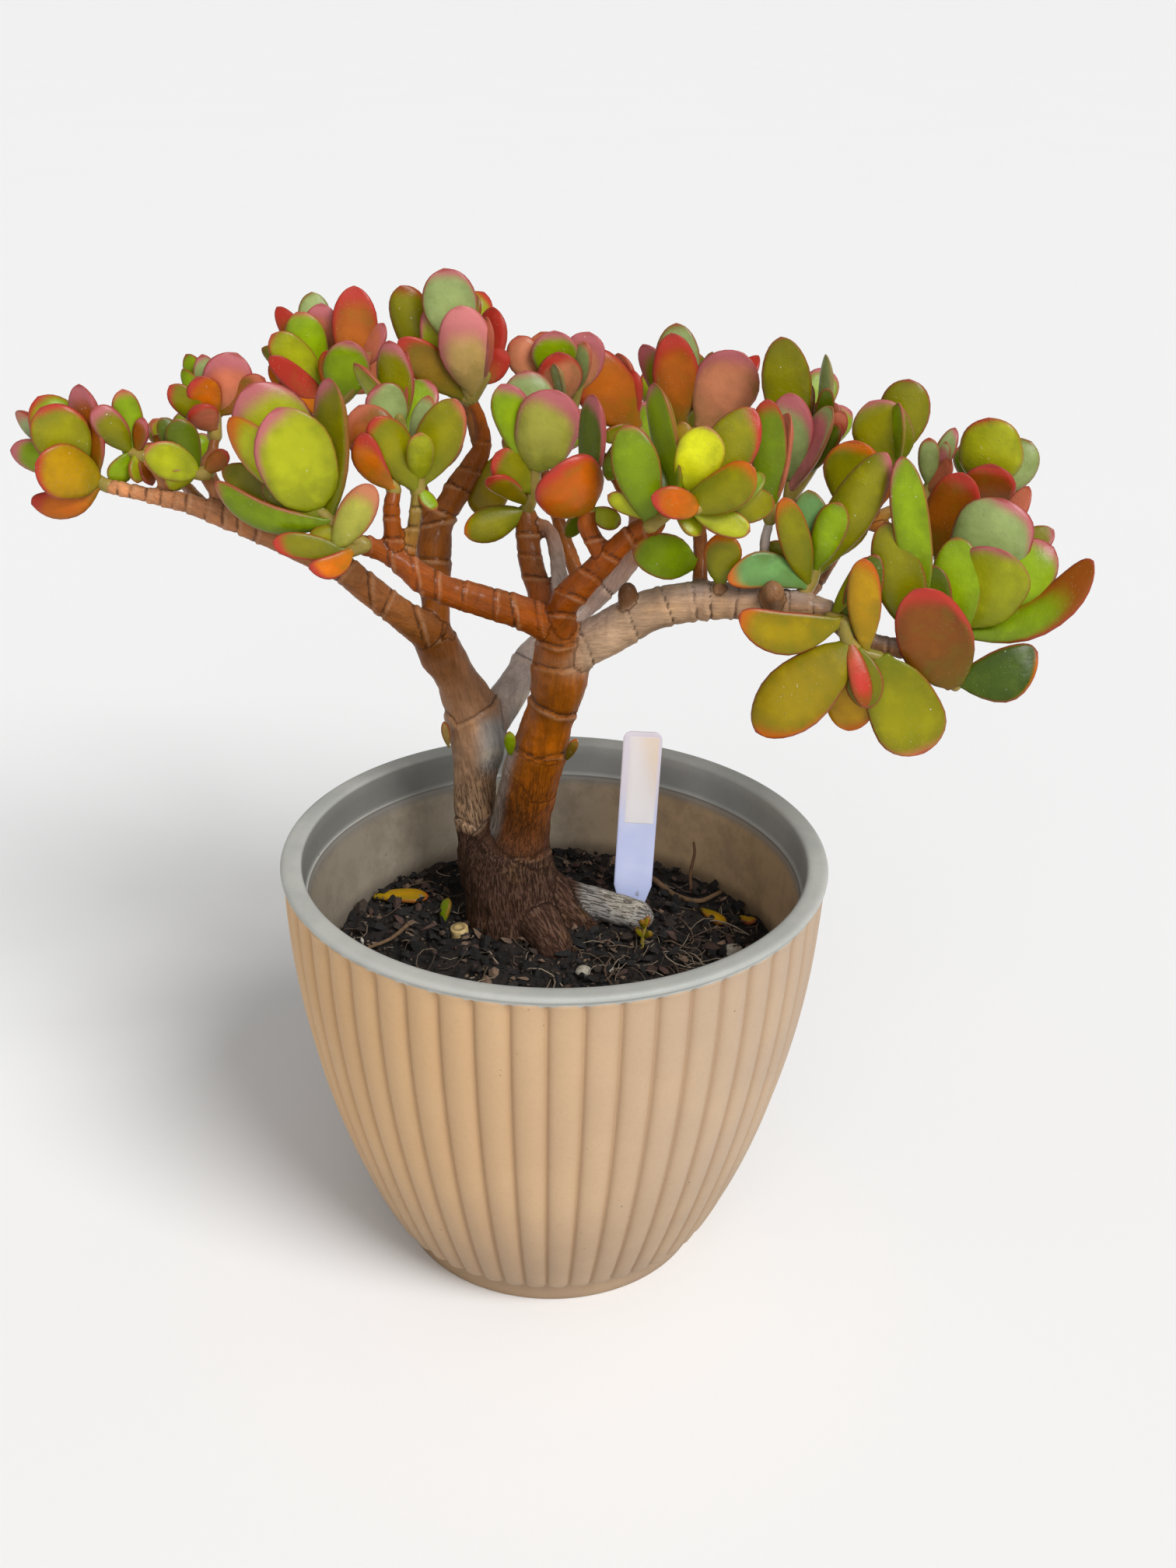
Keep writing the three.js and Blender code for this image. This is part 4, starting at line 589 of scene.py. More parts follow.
# Limbs: a, b, depth and width on the board, with the tint at the foot and at the end.
woodTints = {
    "base": (88, 62, 50), "rear": (224, 186, 150), "left": (138, 76, 12), "pink": (216, 146, 98),
    "upright": (142, 76, 8), "amber": (156, 74, 2), "dark": (158, 84, 2), "right": (150, 106, 70),
    "grey": (206, 194, 186), "brown": (146, 78, 10), "green": (166, 146, 62), "dead": (108, 70, 40),
}
limbs = [
    ("rear", "left", [(-39, -36, 33, 26), (-44, -20, 36, 18), (-45.5, 0, 38, 17.5), (-44, 15, 40, 22),
                      (-46, 27, 42, 23), (-53, 42, 40, 17), (-59, 53, 38, 18), (-63, 60, 36, 16)]),
    ("left", "pink", [(-60, 57, 37, 15), (-63, 60, 36, 16), (-72, 66, 30, 13), (-90, 79.5, 20, 12),
                      (-98, 86, 15, 12), (-118, 95.5, 8, 10.5), (-140, 105, 5, 9.5), (-160, 112.5, 5, 8.5),
                      (-172, 115, 7, 7), (-192, 119.5, 9.5, 5.6)]),
    ("pink", "pink", [(-168, 115, 7, 5), (-172, 124, 10, 5), (-178, 131, 13, 4.6)]),
    ("pink", "left", [(-142, 106, 5, 6), (-153, 125, 15, 7.4), (-151, 133, 19, 5), (-150, 139, 23, 4.6)]),
    ("upright", "upright", [(-62, 57, 37, 14), (-61, 70, 40, 11), (-62, 92, 48, 14.5), (-61, 103, 52, 13),
                            (-57, 110, 54, 10.5), (-52, 119, 58, 11)]),
    ("upright", "amber", [(-52, 119, 58, 11), (-45, 130, 61, 9), (-42, 137, 62, 7), (-44, 148, 62, 5),
                          (-47, 153.5, 62, 5)]),
    ("upright", "brown", [(-62, 101, 52, 8), (-67, 118, 56, 6), (-71, 130, 48, 5), (-74, 136.5, 41, 5)]),
    ("brown", "green", [(-67, 117, 56, 6), (-85, 134, 63, 5), (-103.5, 151, 70, 4.6)]),
    ("grey", "brown", [(-40, 24, 43, 16), (-28, 42, 60, 13), (-22, 54, 75, 10), (-5, 67, 90, 8),
                       (8, 79, 98, 8), (18, 92, 102, 8), (20, 110, 95, 7), (23, 136, 82, 6)]),
    ("brown", "brown", [(20, 108, 96, 6), (8, 128, 88, 5), (-7, 146, 76, 5)]),
    ("base", "dark", [(-30, -38, 29, 32), (-27, -15, 26, 24), (-24, 0, 22, 24), (-19.5, 15, 18, 23)]),
    ("dark", "dark", [(-24, 0, 22, 24), (-19.5, 15, 18, 23), (-15, 28, 15, 20), (-12, 40, 12, 22),
                      (-11, 50, 10, 22), (-12, 60, 7, 19), (-16, 65, 4, 15)]),
    ("amber", "amber", [(-12, 61, 7, 15), (-24, 68, 0, 14), (-40, 73, -7, 13), (-58, 78, -12, 12),
                        (-66, 82, -14, 12), (-74, 88, -15, 10), (-82, 93, -16, 8), (-90, 96, -18, 9.5),
                        (-94, 97.5, -18, 6)]),
    ("amber", "amber", [(-78, 90, -15.5, 7), (-79, 112, -12, 7.5), (-78, 117, -10, 6)]),
    ("amber", "green", [(-73, 87, -14, 6), (-70, 104, -11, 5.5), (-68.5, 116.5, -8, 5.5)]),
    ("amber", "brown", [(-14, 64, 11, 13), (-20, 80, 22, 11), (-23, 90, 30, 10), (-25, 108.5, 38, 9)]),
    ("grey", "brown", [(-10, 73, 8, 8), (-14.5, 100, 33, 6), (-23.5, 105, 37, 6)]),
    ("amber", "amber", [(-12, 58, 6, 14), (-10, 72, 0, 12.5), (-4, 79, -4, 12.5), (2, 85, -7, 11),
                        (13, 96, -12, 9), (19, 101, -15, 8.5), (27, 104.5, -18, 8.5)]),
    ("amber", "amber", [(6, 91, -9, 8), (-1, 105, -8.5, 7.5), (0, 109, -8, 7)]),
    ("rear", "right", [(-8, 52, 9, 18), (-1, 56, 9, 18), (7, 60, 7, 18), (26, 70, 4, 17),
                       (46, 73.5, 1, 15.5), (70, 73, -3, 14), (93, 70, -6, 11), (103, 64, -8, 11),
                       (114, 57, -10, 8), (126, 54, -12, 8)]),
    ("right", "dead", [(16, 64, 6, 9), (16, 77.5, 1, 7.5)]),
    ("brown", "brown", [(45, 72, 2, 7), (45, 98, 20, 6), (43, 118, 52, 5.5), (40, 136.5, 79, 5)]),
    ("right", "right", [(74, 70, -6, 8), (74, 77, -10, 10.5)]),
    ("dead", "grey", [(71, 74, -3, 5), (71, 96, -1, 4.5), (73, 106, 0, 4)]),
    ("right", "green", [(82, 70, -4, 8), (86, 76, -3, 6)]),
    ("right", "brown", [(82, 70, -2, 8), (91, 80, 12, 6.5), (100, 94, 28, 6), (110, 106, 36, 6),
                        (122, 120, 40, 5)]),
    ("brown", "green", [(110, 105, 36, 5.5), (133.5, 114, 52, 4.8)]),
    ("brown", "green", [(110, 105, 37, 5.5), (130, 101, 40, 5.5), (156, 103.5, 41, 4.8)]),
    ("brown", "green", [(90, 79, 11, 6), (86, 100, 36, 5.5), (81, 114, 51, 5)]),
    ("brown", "green", [(99, 93, 27, 4.4), (104, 106, 31, 4)]),
    ("right", "right", [(53, 73, -3, 6), (53, 79.5, -4, 5)]),
    ("brown", "brown", [(-152, 109, 5, 6), (-160, 118, 40, 5), (-165, 124, 60, 5)]),
    ("brown", "brown", [(-96, 144, 68, 5), (-103, 152, 105, 5)]),
    ("brown", "brown", [(-62, 90, 48, 7), (-66, 105, 75, 6), (-69, 118, 93, 5)]),
    ("brown", "brown", [(-43, 134, 62, 6), (-48, 150, 92, 5), (-51, 158, 107, 5)]),
    ("brown", "brown", [(0, 72, 94, 7), (-10, 100, 112, 6), (-18, 126, 124, 5)]),
    ("brown", "brown", [(18, 91, 102, 7), (28, 115, 122, 6), (35, 132, 134, 5)]),
    ("brown", "brown", [(82, 112, 49, 5), (84, 122, 80, 5), (85, 128, 102, 5)]),
    ("brown", "brown", [(144, 101, 41, 5), (154, 104, 66, 5), (159, 107, 88, 5)]),
]
# The stool of the trunk and its roots: x, y, z and radius.
rootLimbs = [
    ("base", "base", [(-14, 31, 92, 16), (-16, 29, 121, 20.5), (-18, 29, 134, 19.5), (-19.5, 30, 150, 18)]),
    ("base", "base", [(-14, 24, 132, 11), (-2, 9, 123, 8.5), (10, -8, 111, 4.5)]),
    ("base", "base", [(-10, 30, 138, 11), (6, 27, 124, 9), (18, 24, 110, 5)]),
    ("base", "grey", [(-8, 32, 133, 7), (8, 30, 131, 6.8), (34, 26, 125.5, 6.4)]),
]


def leafPaint(start, at):
    # body colour, lighter in the middle of the blade as painted light and darker near the margin as painted
    # shade, then blush from the margin with a ragged edge, a thin dark rim and pale speckles
    body = start.attribute("leafBody", "Color")
    blush = start.attribute("leafBlush", "Color")
    lit = start.vector("MULTIPLY_ADD", body, (1.55, 1.6, 1.6), (0.012, 0.014, 0.0))
    info = start.attribute("leafPlace")
    red, gap, tall = info.part(0), info.part(1), info.part(2)
    seed = start.attribute("leafSeed", "Fac")
    cloud = start.noise(at, 130, 3, 0.55)
    fine = start.noise(at, 700, 4, 0.6)
    body = start.blend(tall.rise(0.6, 0.0) * 0.5, body, start.blend(0.55, body, (0.1, 0.17, 0.004, 1)))
    body = start.blend(cloud.rise(0.48, 0.72) * 0.4, body, lit)
    body = start.blend(cloud.rise(0.5, 0.3) * 0.3, body, (0.1, 0.14, 0.004, 1))
    # painted light: the lit copy in the middle of the blade, away from the margin and the root
    body = start.blend(gap.rise(2.0, 7.0) * tall.rise(0.15, 0.6) * 0.42, body, lit)
    # painted shade: darker near the margin
    body = start.blend(gap.rise(2.8, 0.3) * 0.42, body, start.blend(0.6, body, (0.08, 0.08, 0.004, 1)))
    shifted = red + (cloud - 0.5) * 0.34 + (fine - 0.5) * 0.16
    shown = start.blend(shifted.rise(0.0, 1.05) * red.rise(0.0, 0.2), body, blush)
    rim = gap.rise(1.0, 0.2) * (0.25 + 0.6 * seed) * tall.rise(0.1, 0.4)
    shown = start.blend(rim, shown, (0.28, 0.04, 0.024, 1))
    dots = start.specks(at, 620, 0.2) * start.noise(at, 90, 1).rise(0.42, 0.6)
    shown = start.blend(dots * 0.12, shown, (0.75, 0.72, 0.4, 1))
    crumbs = start.specks(at, 330, 0.12) * start.noise(at, 42, 1).rise(0.58, 0.7)
    shown = start.blend(crumbs * 0.5, shown, (0.8, 0.78, 0.7, 1))
    rough = 0.26 + 0.14 * fine + 0.2 * dots
    height = dots * 0.4 + fine * 0.35 + cloud * 1.2
    return {"Base Color": shown, "Roughness": rough, "Specular IOR Level": 0.18, "Subsurface Weight": 0.1,
            "Subsurface Radius": (0.6, 0.5, 0.15), "Subsurface Scale": 0.002, "Coat Weight": 0.1,
            "Coat Roughness": 0.2}, height, 0.0003


def barkPaint(start, at):
    # limb tint, darker in ring grooves, with stretched grain, pale scabs and fine pits
    tint = start.attribute("barkTint", "Color")
    info = start.attribute("barkPlace")
    ridge, old, stool = info.part(0), info.part(1), info.part(2)
    along = start.attribute("barkGrain")
    streak = start.noise(along, 330, 5, 0.65)
    fissures = start.noise(along, 1300, 5, 0.62)
    patch = start.noise(at, 75, 4, 0.6)
    fine = start.noise(at, 900, 4, 0.65)
    mottle = start.noise(at, 52, 3, 0.6)
    shown = start.blend(mottle.rise(0.5, 0.66) * 0.6, tint,
                        start.vector("MULTIPLY", tint, (1.5, 1.42, 1.2)))
    shown = start.blend(mottle.rise(0.47, 0.32) * 0.5, shown,
                        start.blend(0.6, tint, (0.05, 0.018, 0.005, 1)))
    shown = start.blend(streak.rise(0.66, 0.32) * 0.45, shown,
                        start.blend(0.6, tint, (0.03, 0.012, 0.003, 1)))
    shown = start.blend(patch.rise(0.52, 0.72) * 0.1, shown, (0.5, 0.3, 0.08, 1))
    dark = ridge.rise(0.0, -0.34) * patch.rise(0.32, 0.6, 0.45, 0.85)
    shown = start.blend(dark, shown, start.blend(0.85, shown, (0.045, 0.017, 0.006, 1)))
    shown = start.blend(ridge.rise(0.14, 0.5) * 0.45, shown, start.blend(0.6, shown, (0.56, 0.34, 0.19, 1)))
    shown = start.blend(fissures.rise(0.52, 0.36) * 0.25, shown,
                        start.blend(0.7, shown, (0.02, 0.01, 0.004, 1)))
    cracks = fissures.rise(0.49, 0.43) * old
    shown = start.blend(cracks * 0.75, shown, (0.022, 0.012, 0.006, 1))
    pale = fissures.rise(0.54, 0.66) * stool
    shown = start.blend(pale * 0.5, shown, (0.16, 0.11, 0.08, 1))
    shown = start.blend(fine.rise(0.6, 0.78) * 0.14, shown, (0.6, 0.36, 0.1, 1))
    height = streak * 0.6 + fine * 0.3 + patch * 0.4 + fissures * 0.6 - cracks * 0.8
    rough = 0.36 + 0.2 * fine + 0.2 * old + 0.2 * stool
    return {"Base Color": shown, "Roughness": rough, "Specular IOR Level": 0.1,
            "Coat Weight": 0.18 - 0.18 * stool, "Coat Roughness": 0.2}, height, 0.0007


leafFinish = finish("waxyLeaf", leafPaint)
barkFinish = finish("ringedBark", barkPaint)


def leafPiece(name, rootPoints, tipPoints, widths, rolls, bows, codes, seedStart, stems):
    # a code holds the body's letter, the blush's letter, how far the blush reaches, and e for a broad leaf
    letters = [leafColours[c[0]] for c in codes]
    blushes = [leafColours[c[1]] for c in codes]
    seeds = seedStart + np.arange(len(codes)) * 1.0
    shade = 0.92 + 0.2 * draw(seeds * 23 + 1)[:, None]
    body = linear(letters) * shade
    blush = linear(blushes)
    spread = np.array([int(c[2]) for c in codes], float)
    broad = np.array([c.endswith("e") for c in codes])
    points, quads, tris, info = leafSurface(
        np.array(rootPoints), np.array(tipPoints), np.array(widths), np.radians(rolls),
        np.array(bows, float), seeds, body, blush, spread, broad)
    parts = [(points, quads, tris)]
    stemPoints = 0
    for line, radii in stems:
        made = tube(*smoothLine(line, radii, 2.5), 10)
        parts.append(made)
        stemPoints += len(made[0])
    points, quads, tris = gather(parts)
    mesh = meshFrom(name, points, quads, tris)
    white = np.ones((len(points), 1))

    def withStems(values, stemValue):
        # the leaves' values, then one value for every point of the stems
        return np.concatenate([values, np.repeat(np.array([stemValue]), stemPoints, axis=0)])

    bodyAll = withStems(info["body"], linear(leafLook["stemTint"]))
    blushAll = withStems(info["blush"], linear(leafLook["stemBlush"]))
    addAttribute(mesh, "leafBody", "FLOAT_COLOR", np.hstack([bodyAll, white]))
    addAttribute(mesh, "leafBlush", "FLOAT_COLOR", np.hstack([blushAll, white]))
    places = [withStems(info["red"], 0.3), withStems(info["gap"], 3.0), withStems(info["tall"], 0.1)]
    addAttribute(mesh, "leafPlace", "FLOAT_VECTOR", np.column_stack(places))
    addAttribute(mesh, "leafSeed", "FLOAT", withStems(info["seed"], 0.5))
    addPiece(name + "_leaves", mesh, leafFinish, "leaf", name)


limbLines = [[point[:3] for point in limb[2]] for limb in limbs]
seedStart = 1
for name, (stems, leaves) in shoots.items():
    roots, tips, widths, rolls, bows, codes = [], [], [], [], [], []
    for leaf in leaves:
        a0, b0, a1, b1, width, back, roll, code = leaf[:8]
        bow = leaf[8] if len(leaf) > 8 else 0
        a, b, y = onStem(stems, a0, b0) if stems else (a0, b0, onStem(limbLines, a0, b0)[2])
        root, rootScale = place(a, b, y + max(-1.2, min(1.2, back * 0.2)))
        tip, tipScale = place(a1, b1, y + back)
        roots.append(root)
        tips.append(tip)
        widths.append(width * (rootScale + tipScale) / 2)
        rolls.append(roll)
        bows.append(bow * tipScale * np.sign(a0 - a1))
        codes.append(code)
    stemLines = []
    for line in stems:
        points = place(*np.array(line, float).T)[0]
        stemLines.append((points, np.linspace(*leafLook["stemRadii"], len(points))))
    leafPiece(name, roots, tips, widths, rolls, bows, codes, seedStart, stemLines)
    seedStart += len(leaves)

rearCodes = ["gm3", "yr4", "oO3", "dp2", "gm4", "yp3"]
for index, (name, (a, b, y, size)) in enumerate(rearShoots.items()):
    foot, scale = place(a, b, y)
    reach = size * scale
    top = foot + np.array([0, reach * 0.12, reach * 0.9])
    roots, tips, widths, rolls = [], [], [], []
    for k in range(6):
        pair = k // 2
        turn = (k % 2) * math.pi + (pair % 2) * math.pi / 2 + 0.5 + 0.5 * draw(index * 31 + k)
        rise = 0.35 + 0.27 * pair + 0.2 * draw(index * 17 + k)
        length = reach * (1.02 - 0.1 * pair + 0.12 * draw(index * 7 + k))
        root = foot + (top - foot) * (0.3 + 0.2 * pair)
        way = np.array([math.cos(turn) * math.cos(rise), math.sin(turn) * math.cos(rise), math.sin(rise)])
        roots.append(root)
        tips.append(root + way * length)
        widths.append(length * (0.52 + 0.14 * draw(index * 5 + k)))
        rolls.append((180 if way[1] > 0.1 else 0) + 28.6 * (draw(index + k * 3) - 0.5))
    codes = [rearCodes[(k + index) % 6] for k in range(6)]
    stem = (np.array([foot, top]), np.array(leafLook["stemRadii"]))
    leafPiece(name, roots, tips, widths, rolls, [0] * 6, codes, 300 + index * 6, [stem])
print("leaves made")

# Wood

# Ring scars that follow the drawn lines: limb number, then points (a, b) across it.
ringScars = [
    (0, (-62, 57), (-53, 61)), (0, (-57, 27), (-53, 22.5), (-45, 26), (-38, 31), (-36, 35)),
    (0, (-54, -14), (-44, -19), (-35, -16)), (1, (-78, 77), (-81, 70)), (1, (-95, 87), (-99, 82)),
    (1, (-109, 97), (-110, 87)), (1, (-122, 102), (-124, 93)), (1, (-131, 107), (-133, 97)),
    (1, (-139, 110), (-140, 101)), (1, (-145, 113), (-146, 104)), (1, (-152, 115), (-153, 106)),
    (1, (-160, 118), (-161, 108)), (1, (-165, 118), (-166, 110)), (1, (-170, 119), (-171, 111)),
    (1, (-176, 121), (-177, 113)), (1, (-182, 122), (-183, 115)), (1, (-187, 123), (-188, 116)),
    (1, (-68, 69), (-65, 58)), (1, (-87, 82), (-86, 71)), (4, (-69, 103), (-53, 106)),
    (4, (-64, 111), (-52, 106)), (4, (-70, 62), (-54, 60)), (4, (-68, 78), (-54, 76)),
    (4, (-70, 90), (-54, 89)), (4, (-56, 120), (-45, 117)), (5, (-53, 127), (-40, 124)),
    (5, (-47, 138), (-37, 136)), (8, (-32, 53), (-18, 46)), (8, (-15, 64), (-9, 56)),
    (8, (4, 80), (11, 73)), (8, (14, 98), (23, 97)),
    (10, (-44, -20), (-40, -26), (-35, -30), (-28, -31), (-21, -30.5), (-14, -26)),
    (11, (-33, 14.5), (-20, 9), (-5, 12)), (11, (-26.5, 39), (-21, 31), (-12, 26.5), (-5, 27)),
    (11, (-24, 48), (-18, 46), (-10, 44.5), (2, 48)), (11, (-22, 57), (-12, 54), (0, 57)),
    (12, (-30, 76), (-28, 62)), (12, (-36, 81), (-37, 66)), (12, (-48, 84), (-50, 68)),
    (12, (-60, 86), (-60, 70)), (12, (-70, 92), (-67, 76)), (12, (-80, 98), (-78, 85)),
    (12, (-88, 103), (-87, 89)), (12, (-20, 74), (-18, 58)), (13, (-84, 107), (-73, 106)),
    (13, (-84, 111), (-73, 111)), (13, (-83, 98), (-73, 98)), (14, (-76, 95), (-66, 94)),
    (14, (-75, 103), (-65, 102)), (14, (-74, 110), (-64, 110)), (15, (-24, 72), (-9, 70)),
    (15, (-28, 83), (-13, 82)), (15, (-30, 92), (-16, 91)), (15, (-31, 100), (-17, 100)),
    (17, (-18, 68), (-3, 67)), (17, (-13, 78), (1, 72)), (17, (-4, 87), (7, 79)), (17, (2, 95), (12, 89)),
    (17, (14, 104), (20, 94)), (17, (22, 111), (24, 97)), (18, (-2, 97), (7, 99)),
    (19, (-6, 65), (-2, 56), (2, 46)), (19, (13.5, 76), (16, 66), (20, 56)), (19, (27.5, 80), (34.5, 61)),
    (19, (40.5, 82), (43, 64)), (19, (48, 82), (48, 65)), (19, (59.5, 82), (57.5, 64)),
    (19, (70, 81), (70, 64)), (19, (80, 78), (80, 64)), (19, (90, 77), (89, 63)), (19, (98, 73), (95, 61)),
    (19, (106, 68), (100, 57)), (19, (113, 62), (110, 52)), (19, (120, 59), (119, 50)),
    (25, (89, 83), (95, 78)), (25, (98, 97), (104, 92)),
]
woodLook = {"voxel": 1.05, "sides": 18, "spacing": 7.5, "lip": 0.6, "lipWidth": 1.5, "groove": 1.0,
            "grooveWidth": 0.58, "grooveAt": 1.1, "paleBarkAndSheen": (176, 172, 166), "topBark": (168, 150, 142)}
# limbs that are spoken of by number
greyRoot, leftTrunk = 3, len(rootLimbs)
stoolLimb, frontTrunk, rightLimb = len(rootLimbs) + 10, len(rootLimbs) + 11, len(rootLimbs) + 19

woodLines = []
for first, last, line in rootLimbs:
    data = np.array(line, float)
    woodLines.append((first, last, *smoothLine(data[:, :3], data[:, 3], 3)))
for first, last, line in limbs:
    data = np.array(line, float)
    points, scale = place(data[:, 0], data[:, 1], data[:, 2])
    woodLines.append((first, last, *smoothLine(points, data[:, 3] / 2 * scale, 3)))
points, quads, tris = gather([tube(p, r, woodLook["sides"]) for _, _, p, r in woodLines])
rawMesh = meshFrom("woodRough", points, quads, tris)
rawWood = bpy.data.objects.new("woodRough", rawMesh)
bpy.context.scene.collection.objects.link(rawWood)
skinning = rawWood.modifiers.new("oneSkin", "REMESH")
skinning.mode = "VOXEL"
skinning.voxel_size = woodLook["voxel"] * 0.001
skinning.use_smooth_shade = True
easing = rawWood.modifiers.new("easing", "SMOOTH")
easing.iterations = 3
easing.factor = 0.5
shown = rawWood.evaluated_get(bpy.context.evaluated_depsgraph_get())
woodMesh = bpy.data.meshes.new_from_object(shown)
bpy.data.objects.remove(rawWood)
bpy.data.meshes.remove(rawMesh)
count = len(woodMesh.vertices)
co = np.empty(count * 3, np.float32)
woodMesh.vertices.foreach_get("co", co)
co = co.reshape(-1, 3).astype(float) * 1000
no = np.empty(count * 3, np.float32)
woodMesh.vertices.foreach_get("normal", no)
no = no.reshape(-1, 3).astype(float)
print("wood skin:", count, "points")


def nearestLimb(co):
    # for every point and limb the least distance / radius over its segments, with the place along it
    ratio = np.full((len(co), len(woodLines)), np.inf)
    along = np.zeros((len(co), len(woodLines)))
    for index, (_, _, line, radii) in enumerate(woodLines):
        run = np.concatenate([[0], np.cumsum(np.linalg.norm(np.diff(line, axis=0), axis=1))])
        reach = radii.max() * 2.5 + 4
        near = np.all((co > line.min(0) - reach) & (co < line.max(0) + reach), axis=1).nonzero()[0]
        if not len(near):
            continue
        some = co[near]
        best = np.full(len(near), np.inf)
        bestAlong = np.zeros(len(near))
        for p, q, r0, r1, s0, s1 in zip(line, line[1:], radii, radii[1:], run, run[1:]):
            way = q - p
            t = np.clip((some - p) @ way / max(way @ way, 1e-9), 0, 1)
            gap = np.linalg.norm(some - p - t[:, None] * way, axis=1) / (r0 + (r1 - r0) * t)
            better = gap < best
            best = np.where(better, gap, best)
            bestAlong = np.where(better, s0 + (s1 - s0) * t, bestAlong)
        ratio[near, index] = best
        along[near, index] = bestAlong
    return ratio, along


ratio, along = nearestLimb(co)
limbOf = ratio.argmin(axis=1)
rows = np.arange(count)
alongOf = along[rows, limbOf]
lengths = np.array([np.linalg.norm(np.diff(l, axis=0), axis=1).sum() for _, _, l, _ in woodLines])
weight = np.exp(-9 * (ratio - ratio[rows, limbOf][:, None]))
weight = np.where(np.isfinite(weight), weight, 0)
weight /= weight.sum(axis=1, keepdims=True)
firstTint = np.array([linear(woodTints[f]) for f, _, _, _ in woodLines])
lastTint = np.array([linear(woodTints[l]) for _, l, _, _ in woodLines])
share = np.clip(along / lengths[None], 0, 1)
limbTint = firstTint[None] * (1 - share[..., None]) + lastTint[None] * share[..., None]
tint = np.einsum("nl,nlc->nc", weight, limbTint)

drawn = onBoard(co)
ridge = np.zeros(count)
for number, *line in ringScars:
    # signed distance d from the drawn line: a low lip exp(-(d/1.5)^2) with a fine groove beside it
    mine = limbOf == number + len(rootLimbs)
    here = drawn[mine]
    line = np.array(line, float)
    far = np.full(len(here), np.inf)
    signed = np.zeros(len(here))
    span = np.array(limbs[number][2], float)[:, :2]
    nearest = np.argmin(np.linalg.norm(span - line.mean(0), axis=1))
    way = unit(span[min(nearest + 1, len(span) - 1)] - span[max(nearest - 1, 0)])
    for k, (p, q) in enumerate(zip(line, line[1:])):
        step = q - p
        least, most = -0.4 * (k == 0), 1 + 0.4 * (k == len(line) - 2)
        t = np.clip((here - p) @ step / (step @ step), least, most)
        off = here - p - t[:, None] * step
        gap = np.linalg.norm(off, axis=1)
        better = gap < far
        far = np.where(better, gap, far)
        signed = np.where(better, np.sign(off @ way) * gap, signed)
    lip = woodLook["lip"] * np.exp(-((signed / woodLook["lipWidth"]) ** 2))
    inGroove = (signed - woodLook["grooveAt"]) / woodLook["grooveWidth"]
    lip = lip - woodLook["groove"] * np.exp(-(inGroove ** 2))
    lip = lip * (0.75 + 0.35 * grain(co[mine], 5, 9))
    ridge[mine] += lip
# fainter rings all along the limbs, unevenly spaced
wobble = 2.6 * grain(co, 11, 5) + 0.9 * grain(co, 4, 6)
phase = alongOf + wobble + 3 * np.sin(alongOf * 0.11 + limbOf)
phase = phase / woodLook["spacing"] + draw(limbOf * 3 + 2)
inRing = (phase - np.floor(phase) - 0.5) * woodLook["spacing"]
faint = 0.12 * np.exp(-((inRing / 0.8) ** 2)) - 0.2 * np.exp(-(((inRing - 1.1) / 0.5) ** 2))
trunkLimbs = (limbOf <= leftTrunk) | (limbOf == stoolLimb) | (limbOf == frontTrunk)
strength = np.where(trunkLimbs, 0.0, 1.0) * np.clip(0.4 + 0.9 * grain(co, 12, 8), 0, 1)
ridge += faint * strength
# the stool lies below the lowest ring, whose height on the board depends on a
ringAcross = [-56, -48, -44, -38, -33, -27, -20, -14, -8]
ringUp = [-17, -19, -20, -27, -30, -31, -30.5, -27, -24]
ringLine = np.interp(drawn[:, 0], ringAcross, ringUp)
stool = ease(0.5, -1.5, drawn[:, 1] - ringLine)
old = ease(14, -12, drawn[:, 1]) * trunkLimbs * np.where(limbOf == leftTrunk, 0.8, 0.45 + 0.4 * stool)
size = np.array([r.mean() for _, _, _, r in woodLines])[limbOf]
lump = 0.5 * grain(co, 11, 11) + 0.35 * grain(co, 5, 12)
crust = 0.9 * np.minimum(grain(co * np.array([1, 1, 0.45]), 4.2, 13), 0.25) + 0.45 * grain(co, 2.2, 14)
height = ridge * np.clip(size / 7, 0.45, 1.1) + lump * np.clip(size / 8, 0.3, 1.2) + crust * stool * 0.5
height += 0.18 * grain(co, 1.8, 15)
co = co + no * height[:, None]
woodMesh.vertices.foreach_set("co", (co * 0.001).astype(np.float32).ravel())
woodMesh.polygons.foreach_set("use_smooth", np.ones(len(woodMesh.polygons), bool))
woodMesh.update()
# the left trunk is pale on its right side, and so is the cut root
grey = (limbOf == leftTrunk) * ease(-48, -38, drawn[:, 0])
grey = grey * ease(0, 8, drawn[:, 1]) * ease(30, 22, drawn[:, 1])
# a pale strip of painted sheen, a painted highlight, runs down the left edge of the front trunk
edge = -33 + (drawn[:, 1] - 12) * 0.22
paintedSheen = ease(6, 1.5, drawn[:, 0] - edge) * ease(20, 12, drawn[:, 1]) * ease(-25, -18, drawn[:, 1])
grey = np.maximum(grey, (limbOf >= stoolLimb) * (limbOf <= frontTrunk) * paintedSheen * 0.65)
grey = np.maximum(grey, (limbOf == greyRoot) * ease(-6, 0, drawn[:, 0]))
paleBarkAndSheen, stoolBark = linear(woodLook["paleBarkAndSheen"]), linear(woodTints["base"])
# pale bark, and the painted sheen along the front trunk's left edge
tint = tint * (1 - grey[:, None]) + paleBarkAndSheen * grey[:, None]
tint = (tint * (1 - stool[:, None]) + stoolBark * stool[:, None] * (1 - grey[:, None])
        + paleBarkAndSheen * (stool * grey)[:, None])
